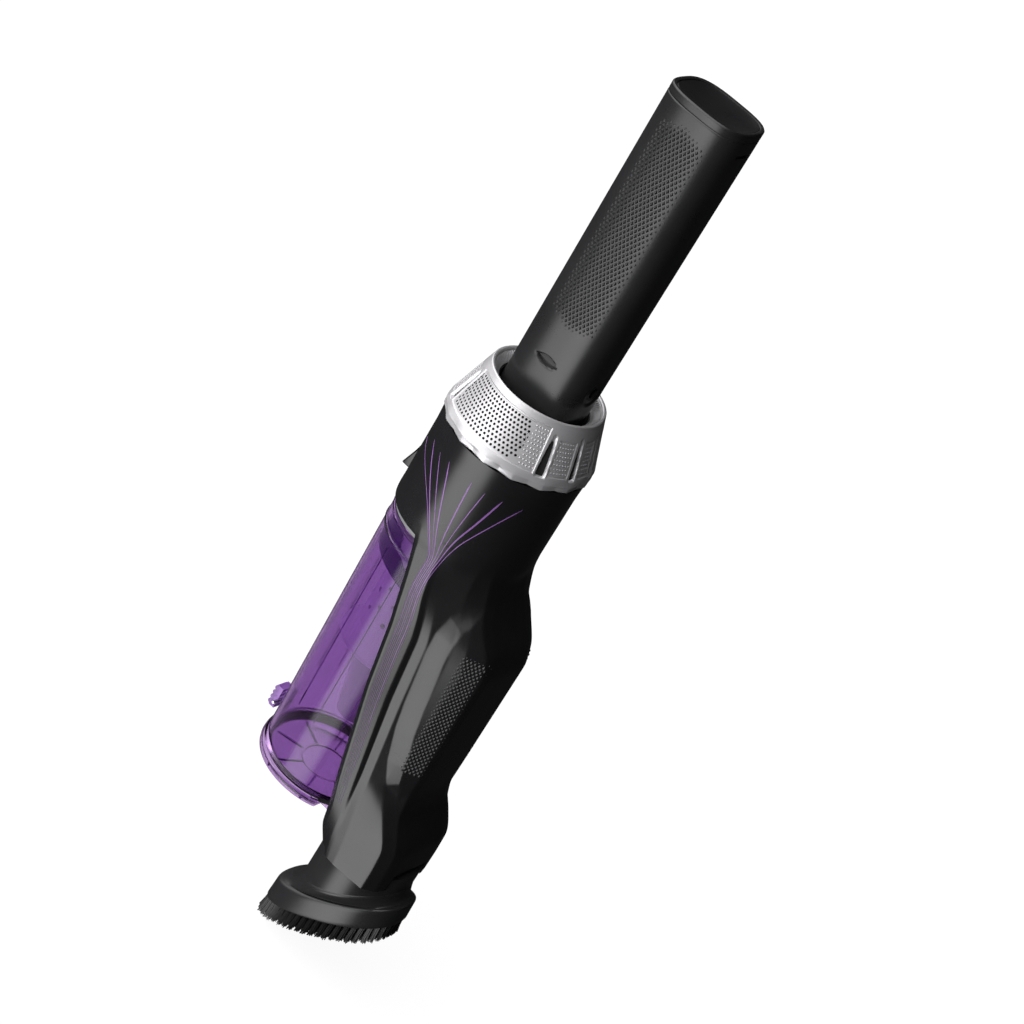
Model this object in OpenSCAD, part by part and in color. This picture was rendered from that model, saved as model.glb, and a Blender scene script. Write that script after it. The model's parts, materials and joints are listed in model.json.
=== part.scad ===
// Cordless handheld vacuum with a see-through dust bin and a slanted dusting brush.
// +Z runs up the motor and handle axis, -X is the bin side, +X is the air duct side.
// Depths in the sections below are measured down from the top rim of the exhaust ring.

/* [Handle] */
// Length of the handle above the exhaust ring
handle_len = 159; // [150:1:170]
// Half depth of the handle at its far end
handle_half_x = 22.1; // [21.8:0.1:22.4]
// Half thickness of the handle at its far end
handle_half_y = 18; // [17.8:0.1:18.4]
// Size of the handle at the ring, as a share of its far end
handle_taper = 0.965; // [0.96:0.005:0.98]
// Wall of the handle sleeve
handle_wall = 2.2; // [2:0.1:2.4]
// Travel of the power button
button_travel = 0.9; // [0.6:0.1:0.9]

/* [Exhaust ring] */
// Radius of the ring at its top rim
ring_top_r = 30; // [29.5:0.1:30.5]
// Radius of the ring at its widest
ring_low_r = 39.6; // [39:0.1:39.8]
// Depth at which the ring is widest
ring_h = 29; // [28:0.5:30]
// Radius of the opening around the handle
ring_mouth_r = 23.6; // [23.2:0.1:24]

/* [Housing] */
// Radius of the motor drum
drum_r = 38; // [37.8:0.1:38.2]
// Depth of the floor of the motor drum
drum_floor = 87; // [86.5:0.5:87.5]
// Wall of the housing
shell_wall = 2.2; // [2:0.1:2.4]
// Depth of the open lower end of the duct
duct_end = 268; // [267:0.5:269]

/* [Dust bin] */
// Outer radius of the bin at its top
bin_top_r = 36.4; // [36:0.1:36.5]
// Outer radius of the bin at its bottom
bin_low_r = 33.7; // [33.4:0.1:34]
// Depth of the lower face of the closed flap
bin_end = 251.5; // [251:0.5:252]
// Wall of the clear bin
bin_wall = 1.8; // [1.6:0.1:2]
// Radius of the rim of the flap
flap_r = 36.2; // [36:0.1:36.3]

/* [Brush] */
// Radius of the brush neck
neck_r = 25.2; // [25:0.1:25.4]
// Half length of the brush block, seen along the handle
block_half_x = 34.5; // [34:0.1:34.5]
// Half width of the brush block
block_half_y = 24; // [23:0.5:25]
// Height of the side wall of the block
block_h = 14; // [13:0.5:14]
// Length of the bristles
bristle_len = 11; // [10:0.5:12]
// Slope of the brush face: rise for each unit along +X
brush_slope = 0.61; // [0.58:0.01:0.62]

/* [Hidden] */

$fn = 64;
eps = 0.01;
big = 400;
axis_x = -19.5;
block_x = 48;
block_base = 310;
rim_z = block_base + bristle_len + brush_slope * block_half_x;
squircle = 3;
squircle_sides = 60;

// Dish of the end cap, screws of the handle mount, battery cells and the duct
dish_r = 15;
dish_depth = 1.6;
screw_angles = [35, 145, 215, 325];
screw_at = 33.4;
screw_r = 1.4;
cell_r = 9;
cell_len = 65;
cell_z = 23.5;
cell_gap = 0.6;
duct_x = 48.6;
duct_half_x = 7.4;
duct_half_y = 16.5;
liner_wall = 1.2;
liner_top = -133.6;
liner_low = -239;
socket_x = 55.5;
socket_top = -241;
port_z = -119;
socket_r = 11.9;
spigot_r = 11.82;
neck_x = 50;
neck_top = -262;
seal_depths = [-248.5, -254.5];
flap_x = 1.5;
hinge_x = 36.3;
hinge_z = -248;
latch_x = -38.6;
latch_z = -242;
latch_pin_r = 0.8;
bin_gap = 0.6;
seam_gap = 0.02;

// Housing outline: each row is a depth, then six corners of one side from front to back
outline = [
  [-80,  [[-5, 37],     [12, 34.6],  [20, 30],   [28, 23],     [32, 17],     [34.5, 9]]],
  [-87,  [[-3, 37.5],   [12.5, 35.2], [20, 30.4], [29, 24],    [33.6, 17],   [35.8, 9.5]]],
  [-93,  [[-2, 37.9],   [13, 36.2],  [20, 31],   [30, 25],     [35.5, 17],   [37, 11]]],
  [-102, [[0.5, 38.1],  [14, 36.4],  [21, 30.4], [31, 25],     [38.6, 17.5], [40, 12]]],
  [-112, [[3, 38.1],    [16, 35.8],  [22, 29.6], [34, 25],     [45.4, 18],   [47, 13]]],
  [-122, [[5, 37.8],    [19, 34.8],  [25, 28.8], [38, 25.4],   [54, 18],     [55.8, 14]]],
  [-133, [[7.5, 37.4],  [21.5, 33.8], [27, 28],  [42, 25.5],   [57.4, 18],   [58.8, 15]]],
  [-170, [[13, 36],     [25.5, 32.4], [30, 27.2], [44, 25.5],  [57.4, 18],   [58.8, 15]]],
  [-215, [[21.5, 33],   [32.5, 30.8], [36, 27],  [46, 25.5],   [57.4, 18],   [58.8, 15]]],
  [-226, [[23.5, 32],   [34, 30.4],  [38, 28],   [48, 26.5],   [58.8, 18.5], [60.4, 15]]],
  [-240, [[26.5, 30.6], [36, 30],    [42, 30],   [52, 29],     [66.5, 22],   [71, 15.4]]],
  [-256, [[28.5, 28.6], [37.5, 29.6], [44, 30.4], [54, 29.4],  [68, 21.6],   [72, 15.3]]],
  [-duct_end, [[33, 25], [40, 28.6], [46, 30],   [55, 29],     [68, 21.4],   [72, 15.2]]]];

// Duct hollow: the same rows, two corners of one side, kept inside the outline
hollow = [
  [-108, [[39.4, 14], [41.4, 13]]],
  [-122, [[40, 20],   [53, 14.4]]],
  [-133, [[40, 22],   [56.4, 14.6]]],
  [-215, [[40.4, 22], [56.4, 14.6]]],
  [-226, [[40.8, 22], [57.4, 15]]],
  [-240.4, [[41, 23], [66.4, 16]]]];

function bin_r(z) = bin_top_r + (bin_low_r - bin_top_r) * (-z - drum_floor) / (bin_end - drum_floor);
function squircle_points(a, b, n = squircle, sides = squircle_sides) = [
  for (i = [0:sides - 1])
    let (t = 360 * (i + 0.5) / sides, c = cos(t), s = sin(t))
    [a * sign(c) * pow(abs(c), 2 / n), b * sign(s) * pow(abs(s), 2 / n)]];

module place() translate([axis_x, 0, rim_z]) children();
module left_half() intersection() {
  children();
  translate([-big / 2, -big, -big]) cube([big, big - seam_gap / 2, 2 * big]);
}
module right_half() mirror([0, 1, 0]) left_half() children();

// A closed solid through rows of [z, corners of one side], mirrored about y = 0
module loft(rows) skin([for (r = rows) concat(
  [for (p = r[1]) [p[0], -p[1], r[0]]],
  [for (i = [len(r[1]) - 1:-1:0]) [r[1][i][0], r[1][i][1], r[0]]])]);
// A closed solid through rings that have the same number of points
module skin(rings) {
  count = len(rings[0]);
  last = (len(rings) - 1) * count;
  walls = [for (k = [0:len(rings) - 2], i = [0:count - 1])
    let (a = k * count + i, b = k * count + (i + 1) % count)
    each [[a, b, b + count], [a, b + count, a + count]]];
  polyhedron(points = [for (r = rings) each r], faces = concat(
    [[for (i = [count - 1:-1:0]) i]], walls, [[for (i = [0:count - 1]) last + i]]));
}

// A round cone or tube about the axis x = at, between two depths
module rod(r, z0, z1, at = 0, y = 0) translate([at, y, z0]) cylinder(r = r, h = z1 - z0);
module tube(r_out, r_in, z0, z1, at = 0) difference() {
  rod(r_out, z0, z1, at);
  rod(r_in, z0 - eps, z1 + eps, at);
}

// ---------------------------------------------------------------- housing
module housing_solid() {
  rotate_extrude() polygon([[0, -drum_floor], [drum_r, -drum_floor],
    [drum_r, -45], [drum_r + 0.4, -ring_h - 4], [0, -ring_h - 4]]);
  loft(outline);
}
module housing_cuts() {
  // motor chamber and its air hole down to the bin
  rod(drum_r - shell_wall, -84.5, -ring_h - 4 + eps);
  rod(23, -drum_floor - eps, -84);
  // seat of the bin, seat of the flap and the way out to the front
  rotate_extrude() polygon([[0, -drum_floor], [bin_top_r + bin_gap, -drum_floor],
    [bin_r(-246) + bin_gap, -246], [0, -246]]);
  rod(flap_r + 1.9, -254.6, -238, flap_x);
  translate([-50, -50, -254.6]) cube([50, 100, 254.6 - drum_floor]);
  // duct hollow, its port to the bin and the socket at its lower end
  loft(hollow);
  translate([30, -8.9, port_z - 5.9]) cube([12, 17.8, 11.8]);
  rod(14, -262, socket_top + 0.8, socket_x);
  rod(neck_r + 0.9, -duct_end - eps, -259, neck_x);
  // way of the flap as it swings down
  translate([20, -24.4, -264]) cube([16.5, 48.8, 12]);
  // pocket of the release button
  translate([-45, -9.3, -81.3]) cube([12, 18.6, 14.6]);
}
module screw_bosses() for (a = screw_angles) rotate([0, 0, a]) difference() {
  rod(3.2, -41.4, -ring_h - 4.2, screw_at);
  rod(screw_r + 0.05, -42, -ring_h - 4, screw_at);
}
module housing_shell() {
  difference() {
    housing_solid();
    housing_cuts();
  }
  screw_bosses();
}

module housing_left() place() color([0.09, 0.09, 0.1]) left_half() housing_shell();
module housing_right() place() color([0.09, 0.09, 0.1]) right_half() housing_shell();

// Four screws hold the handle mount down on the bosses of the drum halves
module mount_screws() place() color("silver") for (a = screw_angles) rotate([0, 0, a]) {
  rod(screw_r, -40.8, -ring_h - 1.2, screw_at);
  rod(2.6, -ring_h - 1.2, -ring_h + 0.4, screw_at);
}

// Plate that carries the handle on top of the drum
module handle_mount() place() color([0.12, 0.12, 0.13]) difference() {
  union() {
    rod(drum_r - shell_wall - 0.3, -ring_h - 4, -ring_h - 1.2);
    tube(24.2, 22.6, -ring_h - 3, -14);
  }
  rod(12, -60, 0);
  for (a = screw_angles) rotate([0, 0, a]) {
    rod(screw_r + 0.3, -40, -20, screw_at);
    for (step = [18:18:72]) rotate([0, 0, step]) rod(2.8, -40, -20, 30);
  }
}

// ---------------------------------------------------------------- exhaust ring
ring_slope = (ring_low_r - ring_top_r) / ring_h;
function ring_r(z) = ring_top_r - z * ring_slope;
ring_tilt = atan(ring_slope);
module radial(angle, z) rotate([0, 0, angle]) translate([ring_r(z), 0, z])
  rotate([0, 90 - ring_tilt, 0]) children();
module exhaust_ring() place() color([0.78, 0.77, 0.78]) difference() {
  rotate_extrude() polygon([[ring_top_r - 1.6, -0.6], [ring_top_r - 0.6, 0], [ring_top_r, -0.4],
    [ring_low_r, -ring_h], [ring_low_r, -ring_h - 3], [38.4, -ring_h - 3.9], [36.6, -ring_h - 3.9],
    [36.6, -ring_h - 1], [ring_low_r - 2.4, -ring_h + 3], [ring_top_r - 1.6, -4]]);
  for (side = [-90, 90], row = [0:4], col = [-4:4])
    radial(side + (col + (row % 2) / 2) * 7, -6.5 - row * 3.9)
      cylinder(r = 1, h = 9, center = true, $fn = 16);
  for (side = [-90, 90], a = [-78, -49, 49, 78])
    radial(side + a, -17) translate([-9, -1.3, -1.1]) cube([18, 2.6, 4]);
}

// Funnel inside the rim that closes the ring around the handle
module exhaust_collar() place() color([0.6, 0.6, 0.62]) rotate_extrude() polygon([
  [ring_top_r - 1.75, -1.2], [ring_mouth_r + 0.3, -5.4], [ring_mouth_r, -6.2], [ring_mouth_r, -12],
  [ring_mouth_r + 1.3, -12], [ring_mouth_r + 1.3, -6.6], [ring_top_r - 1.75, -3.6]]);

// Foam ring behind the perforated panels
module exhaust_filter() place() color([0.2, 0.2, 0.21]) rotate_extrude() polygon([
  [25.4, -8], [28.6, -8], [34.2, -25.5], [34.2, -28.2], [30.4, -28.2], [25.4, -14]]);

// ---------------------------------------------------------------- handle
function handle_ring(inset, z) =
  let (k = handle_taper + (1 - handle_taper) * z / handle_len)
  [for (p = squircle_points(handle_half_x * k - inset, handle_half_y * k - inset)) [p[0], p[1], z]];
module handle_profile(inset, z0, z1) skin([handle_ring(inset, z1), handle_ring(inset, z0)]);
module handle_sleeve() place() color([0.3, 0.3, 0.31]) difference() {
  handle_profile(0, -27, handle_len);
  handle_profile(handle_wall, -27.5, handle_len + 0.5);
  // button window, status light window and charging socket hole
  translate([-30, -6.3, 8]) cube([20, 12.6, 22.6]);
  translate([0, -10, 13]) rotate([90, 0, 0]) cylinder(r = 2.4, h = 20, $fn = 32);
  translate([10, 0, 12]) rotate([0, 90, 0]) cylinder(r = 4.4, h = 20, $fn = 32);
}
module handle_end_cap() place() color([0.2, 0.2, 0.21]) difference() {
  handle_profile(handle_wall + 0.05, handle_len - 4.2, handle_len - 1);
  translate([0, 0, handle_len - 1 - dish_depth]) cylinder(r1 = 5, r2 = dish_r, h = dish_depth + eps);
}
// Moulded rack that keeps the cells apart
module battery_cradle() place() color([0.85, 0.84, 0.8]) difference() {
  translate([-16, -6.6, cell_z + 12]) cube([32, 13.2, 106]);
  for (x = [-1, 1]) translate([x * 9.1, 0, 0]) rod(cell_r + 0.1, 0, handle_len);
}
module battery_cells() place() color([0.2, 0.5, 0.35]) for (x = [-1, 1], k = [0, 1])
  rod(cell_r, cell_z + k * (cell_len + cell_gap), cell_z + k * (cell_len + cell_gap) + cell_len, x * 9.1);
// Welded strips at both ends of the pack
module battery_tabs() place() color([0.8, 0.8, 0.78])
  for (z = [cell_z - 0.3, cell_z + 2 * cell_len + cell_gap]) translate([-14, -3, z]) cube([28, 6, 0.3]);
module battery_board() place() color([0.1, 0.35, 0.2]) translate([-12, 10.4, cell_z + 20]) cube([24, 1.2, 70]);

// Round power inlet on the back of the handle, just above the ring
module charging_socket() place() color([0.08, 0.08, 0.09]) difference() {
  translate([12.6, 0, 12]) rotate([0, 90, 0]) cylinder(r = 4.3, h = 8, $fn = 48);
  translate([13.6, 0, 12]) rotate([0, 90, 0]) cylinder(r = 2.75, h = 9, $fn = 48);
}
module status_lens() place() color([0.1, 0.1, 0.12]) translate([0, -15.4, 13])
  rotate([90, 0, 0]) cylinder(r = 2.3, h = 1.4, $fn = 32);
module control_board() place() color([0.1, 0.35, 0.2]) translate([-10.6, -8, 4]) cube([1.2, 16, 19]);
// Tact switch: body on the board, short plunger towards the button
module power_switch() place() color([0.15, 0.15, 0.16]) {
  translate([-14.2, -3, 13]) cube([3.6, 6, 6]);
  translate([-15.4, 0, 16]) rotate([0, 90, 0]) cylinder(r = 1.6, h = 1.2, $fn = 24);
}
// Flush button in the front face, with a stem that meets the switch
module power_button() place() color([0.24, 0.24, 0.25]) {
  intersection() {
    handle_profile(0.35, 7, 32);
    translate([-24, -5.9, 8.4]) cube([4.8, 11.8, 21.8]);
  }
  translate([-19.3, 0, 16]) rotate([0, 90, 0])
    cylinder(r = 1.5, h = 3.8 - button_travel, $fn = 24);
}

// ---------------------------------------------------------------- motor
module motor_can() place() color("silver") difference() {
  rod(20, -66, -40);
  rod(18.4, -64.6, -41.4);
  rod(4.1, -67, -39);
}
module motor_magnets() place() color([0.3, 0.3, 0.33]) tube(18.3, 14.6, -62, -44);
module motor_rotor() place() color([0.72, 0.45, 0.25]) difference() {
  rod(13.8, -61, -45);
  rod(2, -62, -44);
  for (a = [0:60:300]) rotate([0, 0, a]) translate([9, -1.2, -62]) cube([6, 2.4, 20]);
}
module motor_shaft() place() color("silver") rod(1.98, -79, -38);
module motor_bearings() place() color([0.7, 0.7, 0.72]) {
  tube(4.1, 2.04, -66, -63);
  tube(4.1, 2.04, -43, -40);
}
module impeller() place() color([0.5, 0.5, 0.52]) difference() {
  union() {
    rod(25, -70, -69);
    rod(5, -78, -69);
    for (a = [0:40:320]) rotate([0, 0, a]) rotate([0, 0, 20]) translate([3.5, 0, -76]) cube([19.5, 1, 6.5]);
  }
  rod(1.98, -80, -60);
}
module fan_shroud() place() color([0.35, 0.35, 0.37]) difference() {
  rod(drum_r - shell_wall - 0.4, -84.2, -67);
  rod(27, -79, -66);
  rod(16, -85, -78);
  for (a = [0:45:315]) rotate([0, 0, a]) translate([31, 0, -85]) cylinder(r = 2.6, h = 20, $fn = 24);
}
module motor_mount_lower() place() color([0.1, 0.1, 0.1]) difference() {
  rod(drum_r - shell_wall - 0.5, -67, -63.4);
  rod(20, -68, -60);
  for (a = [0:45:315]) rotate([0, 0, a]) translate([28, 0, -68]) cylinder(r = 4.4, h = 20, $fn = 24);
}
module motor_mount_upper() place() color([0.1, 0.1, 0.1]) difference() {
  rod(drum_r - shell_wall - 0.5, -46, -42);
  rod(20, -68, -40);
  for (a = [0:45:315]) rotate([0, 0, a]) translate([28, 0, -68]) cylinder(r = 4.4, h = 60, $fn = 24);
}
module motor_board() place() color([0.1, 0.35, 0.2]) tube(16, 6, -39.2, -37.8);
module wiring_harness() place() color([0.75, 0.1, 0.1]) for (y = [-4, 0, 4])
  translate([-7.6, y, -37.8]) cylinder(r = 0.8, h = 41.8, $fn = 16);

// ---------------------------------------------------------------- duct
module oval(a, b) polygon(squircle_points(a, b, 2.6));
module duct_liner() place() color([0.25, 0.25, 0.27]) translate([duct_x, 0, liner_low])
  linear_extrude(liner_top - liner_low) difference() {
    oval(duct_half_x, duct_half_y);
    oval(duct_half_x - liner_wall, duct_half_y - liner_wall);
  }
module duct_elbow() place() color([0.25, 0.25, 0.27]) difference() {
  union() {
    translate([38.2, -8.7, port_z - 5.7]) cube([7, 17.4, 11.4]);
    translate([40.8, -14, liner_top + 0.1]) cube([12, 28, 8.9]);
  }
  translate([37, -7.2, port_z - 4.5]) cube([7, 14.4, 9]);
  translate([42, -7.2, liner_top]) cube([2, 14.4, 14]);
  translate([42, -12.6, liner_top - 1]) cube([9.6, 25.2, 8.6]);
}
module inlet_socket() place() color([0.16, 0.16, 0.17]) difference() {
  rod(13.9, -258.6, socket_top, socket_x);
  rod(socket_r, -259, -244.5, socket_x);
  rod(9.9, -259, socket_top + 1, socket_x);
}
module bin_gasket() place() color([0.12, 0.12, 0.12]) tube(27, 23.2, -drum_floor - 0.2, -drum_floor);

// Button above the bin; it travels into the drum against a leaf spring
module bin_release() place() color([0.14, 0.14, 0.15]) intersection() {
  translate([-43, -9, -81]) cube([5.4, 18, 14]);
  translate([0, 0, -74]) rotate([90, 0, 0]) cylinder(r = 43.6, h = 40, center = true, $fn = 128);
}
module release_spring() place() color("silver") translate([-35.8, -6, -80]) cube([0.3, 12, 12]);

// ---------------------------------------------------------------- dust bin
module bin_cup() place() color([0.45, 0.2, 0.65, 0.5]) difference() {
  union() {
    rotate_extrude() polygon([[0, -246], [bin_r(-246), -246], [bin_r(-94), -94], [0, -94]]);
    for (y = [-6, 4.4]) translate([latch_x - 1.6, y, -246]) cube([10, 1.6, 9]);
  }
  translate([latch_x, 0, latch_z]) rotate([90, 0, 0])
    cylinder(r = latch_pin_r + 0.05, h = 20, center = true, $fn = 24);
  rotate_extrude() polygon([[0, -250], [bin_r(-246) - bin_wall, -250],
    [bin_r(-94) - bin_wall, -90], [0, -90]]);
  translate([30, -7, port_z - 4.2]) cube([12, 14, 8.4]);
}
module bin_collar() place() color([0.5, 0.48, 0.52]) difference() {
  rod(bin_top_r, -94, -drum_floor - 0.35);
  rod(25.4, -95, -80);
}
module bin_port_seal() place() color([0.12, 0.12, 0.12]) difference() {
  translate([36.6, -7.9, port_z - 5.2]) cube([1.2, 15.8, 10.4]);
  translate([30, -6.8, port_z - 4]) cube([12, 13.6, 8]);
}
// Perforated screen that hangs from the collar
module cyclone_shroud() place() color([0.35, 0.33, 0.37]) difference() {
  union() {
    tube(25.3, 20, -94, -drum_floor - 3);
    tube(22.5, 20, -158, -92);
    rotate_extrude() polygon([[20, -158], [22.5, -158], [28.5, -166], [28.5, -168], [20, -160]]);
  }
  for (row = [0:7], col = [0:9]) rotate([0, 0, (col + (row % 2) / 2) * 36])
    translate([21, 0, -106 - row * 6]) rotate([0, 90, 0]) cylinder(r = 1.3, h = 6, center = true, $fn = 16);
}
module cyclone_cone() place() color([0.6, 0.5, 0.7]) rotate_extrude() polygon([
  [0, -214], [9, -214], [19.6, -160.4], [19.6, -154], [18, -154], [17.8, -160.2], [8, -212.4], [0, -212.4]]);
module filter_frame() place() color([0.25, 0.25, 0.27]) {
  tube(19.6, 18.4, -150, -drum_floor - 1.5);
  rod(19.6, -151.6, -150);
}
module pleated_filter() place() color([0.85, 0.85, 0.83]) tube(18, 9, -149.6, -drum_floor - 4);

// Flap, its seal, its pin and the thumb latch in front
module bin_flap() place() color([0.45, 0.2, 0.65, 0.5]) difference() {
  union() {
    rod(flap_r, -bin_end, -249.4, flap_x);
    tube(flap_r, flap_r - 1.5, -249.5, -246.3, flap_x);
    translate([0, 0, hinge_z]) for (y = [-9, 4]) translate([hinge_x, y, 0])
      rotate([-90, 0, 0]) cylinder(r = 2.2, h = 5, $fn = 32);
  }
  translate([hinge_x, -12, hinge_z]) rotate([-90, 0, 0]) cylinder(r = 1.05, h = 24, $fn = 32);
  translate([hinge_x - 3, -3.8, hinge_z - 2.6]) cube([12, 7.6, 8]);
  // corners taken off so that the flap swings down between the wings
  for (y = [-44, 24]) translate([24, y, -260]) cube([20, 20, 20]);
}
module flap_seal() place() color([0.08, 0.08, 0.08]) tube(33.2, 30.4, -249.4, -246.3, flap_x / 2);
module flap_hinge_pin() place() color("silver") translate([hinge_x, -9, hinge_z])
  rotate([-90, 0, 0]) cylinder(r = 1, h = 18, $fn = 32);
module flap_latch() place() color([0.4, 0.18, 0.6]) difference() {
  union() {
    translate([-41.6, -4, -246]) cube([3.6, 8, 13]);
    for (z = [-244:3:-235]) translate([-41.6, 0, z]) rotate([90, 0, 0])
      cylinder(r = 1.3, h = 8, center = true, $fn = 24);
  }
  translate([latch_x, 0, latch_z]) rotate([90, 0, 0])
    cylinder(r = latch_pin_r + 0.05, h = 20, center = true, $fn = 24);
}
module latch_pin() place() color("silver") translate([latch_x, 0, latch_z]) rotate([90, 0, 0])
  cylinder(r = latch_pin_r, h = 12, center = true, $fn = 24);

// ---------------------------------------------------------------- brush
module under_plane(depth) translate([block_x, 0, -depth]) rotate([0, -atan(brush_slope), 0])
  translate([-big / 2, -big / 2, -big]) cube([big, big, big]);
module slanted_slab(top, low) difference() {
  intersection() {
    translate([0, 0, -380]) linear_extrude(200) children();
    under_plane(top);
  }
  under_plane(low);
}
module block_outline(inset = 0) translate([block_x, 0])
  polygon(squircle_points(block_half_x - inset, block_half_y - inset, 2.3));
module brush_head() place() color([0.27, 0.27, 0.28]) difference() {
  union() {
    slanted_slab(block_base - block_h, block_base) block_outline(0.4);
    hull() {
      slanted_slab(block_base - block_h, block_base - block_h + 0.5) block_outline(2.5);
      slanted_slab(block_base - block_h - 7, block_base - block_h - 6.5)
        translate([neck_x, 0]) circle(r = neck_r + 0.5, $fn = 48);
    }
    difference() {
      rod(neck_r, -300, neck_top, neck_x);
      under_plane(block_base - 4);
      // bevel that leaves room for the open flap
      rotate([90, 0, 0]) linear_extrude(80, center = true)
        polygon([[15, -277], [23.5, -277], [33.6, -260.9], [15, -260.9]]);
    }
    rod(spigot_r, neck_top - 2, -244.8, socket_x);
  }
  rod(9.8, -330, -230, socket_x);
  slanted_slab(block_base - 6, block_base + 30) block_outline(8.5);
  for (z = seal_depths) translate([socket_x, 0, z]) rotate_extrude()
    polygon([[spigot_r - 0.9, -0.8], [spigot_r + 1, -0.8], [spigot_r + 1, 0.8], [spigot_r - 0.9, 0.8]]);
}
module brush_seals() place() color([0.1, 0.1, 0.1]) for (z = seal_depths)
  tube(spigot_r, spigot_r - 0.9, z - 0.7, z + 0.7, socket_x);
module brush_bristles() place() color([0.06, 0.06, 0.06])
  slanted_slab(block_base, block_base + bristle_len) difference() {
    block_outline();
    block_outline(6);
  }

housing_left();
housing_right();
mount_screws();
handle_mount();
exhaust_ring();
exhaust_collar();
exhaust_filter();
handle_sleeve();
handle_end_cap();
battery_cradle();
battery_cells();
battery_tabs();
battery_board();
charging_socket();
status_lens();
control_board();
power_switch();
power_button();
motor_can();
motor_mount_upper();
motor_mount_lower();
motor_board();
motor_magnets();
motor_rotor();
motor_shaft();
motor_bearings();
impeller();
fan_shroud();
wiring_harness();
duct_liner();
duct_elbow();
inlet_socket();
bin_gasket();
bin_release();
release_spring();
bin_cup();
bin_collar();
bin_port_seal();
cyclone_shroud();
cyclone_cone();
filter_frame();
pleated_filter();
flap_latch();
latch_pin();
bin_flap();
flap_seal();
flap_hinge_pin();
brush_head();
brush_bristles();
brush_seals();
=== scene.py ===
# %% [markdown]
# # A cordless handheld vacuum
# This lesson dresses a CAD part of a handheld vacuum. The CAD part fixes every size and joint.
# Here each visible shell gets its real curves and textures, and every piece gets a moulded finish.
# The frame is loaded first, and its parts and record are kept.

# %% Load the frame
import json
import math
import random

import bmesh
import bpy
import numpy as np
from mathutils import Matrix, Vector


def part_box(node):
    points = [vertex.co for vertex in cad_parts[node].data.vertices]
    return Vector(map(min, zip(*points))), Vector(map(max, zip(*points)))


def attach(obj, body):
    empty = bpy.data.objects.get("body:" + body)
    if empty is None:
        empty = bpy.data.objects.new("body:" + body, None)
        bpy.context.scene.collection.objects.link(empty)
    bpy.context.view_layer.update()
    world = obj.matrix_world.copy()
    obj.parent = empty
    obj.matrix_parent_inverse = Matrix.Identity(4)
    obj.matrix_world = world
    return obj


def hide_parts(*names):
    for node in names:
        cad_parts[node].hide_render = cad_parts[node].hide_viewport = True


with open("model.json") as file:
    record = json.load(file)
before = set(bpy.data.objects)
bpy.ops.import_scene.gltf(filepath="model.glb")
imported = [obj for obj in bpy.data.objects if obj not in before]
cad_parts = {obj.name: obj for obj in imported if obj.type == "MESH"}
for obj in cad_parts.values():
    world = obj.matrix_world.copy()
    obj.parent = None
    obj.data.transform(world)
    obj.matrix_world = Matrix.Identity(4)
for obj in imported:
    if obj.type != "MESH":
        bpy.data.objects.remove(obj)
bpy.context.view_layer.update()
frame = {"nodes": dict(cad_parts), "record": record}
nodes = frame["nodes"]

# %% [markdown]
# The vacuum is easiest to describe from the rim of its silver ring, where the handle leaves the motor drum.
# x runs towards the air duct, y across the seam, z up the handle, all in millimetres.
# The CAD ring gives the place of that origin, so nothing has to be fitted by eye.

# %% Measure from the ring
MM = 0.001
low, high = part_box("exhaust_ring")
AXIS_X = (low.x + high.x) / 2
RIM_Z = high.z
DRUM_LOW = -87.0
SPIGOT_X = 55.5
SIDES = ((-1, "left"), (1, "right"))


def at(x, y, z):
    """A point given in millimetres from the ring's rim, as a place in the scene."""
    return Vector((AXIS_X + x * MM, y * MM, RIM_Z + z * MM))


def polar(radius, turn, z):
    """The same for a point on a circle round the motor's axis; the turn is in radians."""
    return at(radius * math.cos(turn), radius * math.sin(turn), z)


print("axis x, rim z:", round(AXIS_X, 4), round(RIM_Z, 4))

# %% [markdown]
# The camera looks down at the vacuum by 29 degrees, from in front of its left side, and is rolled so that the
# handle leans to the right. It is built from three directions: towards the camera, to its right and up.
# A long lens keeps the sides nearly parallel, as in a product picture.

# %% Camera
CAMERA_TURN, CAMERA_RISE, CAMERA_ROLL = (math.radians(a) for a in (22.8, 29.05, 31.53))
CAMERA_SIDE, CAMERA_UP, CAMERA_BACK = -17.70, -58.83, 1210.0
back = Vector((math.sin(CAMERA_TURN) * math.cos(CAMERA_RISE),
               -math.cos(CAMERA_TURN) * math.cos(CAMERA_RISE), math.sin(CAMERA_RISE)))
level = Vector((math.cos(CAMERA_TURN), math.sin(CAMERA_TURN), 0))
upward = back.cross(level)
right = level * math.cos(CAMERA_ROLL) + upward * math.sin(CAMERA_ROLL)
top = upward * math.cos(CAMERA_ROLL) - level * math.sin(CAMERA_ROLL)
camera = bpy.data.objects.new("camera", bpy.data.cameras.new("camera"))
bpy.context.scene.collection.objects.link(camera)
camera.matrix_world = Matrix.Translation(at(*(right * CAMERA_SIDE + top * CAMERA_UP + back * CAMERA_BACK))) @ \
    Matrix((right, top, back)).transposed().to_4x4()
camera.data.lens = 91.4
camera.data.sensor_width = 36
camera.data.clip_end = 20
bpy.context.scene.camera = camera
print("camera at", [round(c, 3) for c in camera.location])

# %% [markdown]
# Shader graphs are written as short expressions. A Wire holds one output socket, and its operators add Math
# nodes, so that (mask - 0.5) * spread reads like arithmetic. One method, Paint.node, makes every other node.

# %% Shader helpers
NOISE_ROUGH = 0.55


class Wire:
    def __init__(self, paint, socket):
        self.paint, self.socket = paint, socket

    def math(self, operation, *values):
        return self.paint.node("ShaderNodeMath", {"operation": operation}, *values)

    def __add__(self, other):
        return self.math("ADD", self, other)

    def __sub__(self, other):
        return self.math("SUBTRACT", self, other)

    def __mul__(self, other):
        return self.math("MULTIPLY", self, other)


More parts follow.
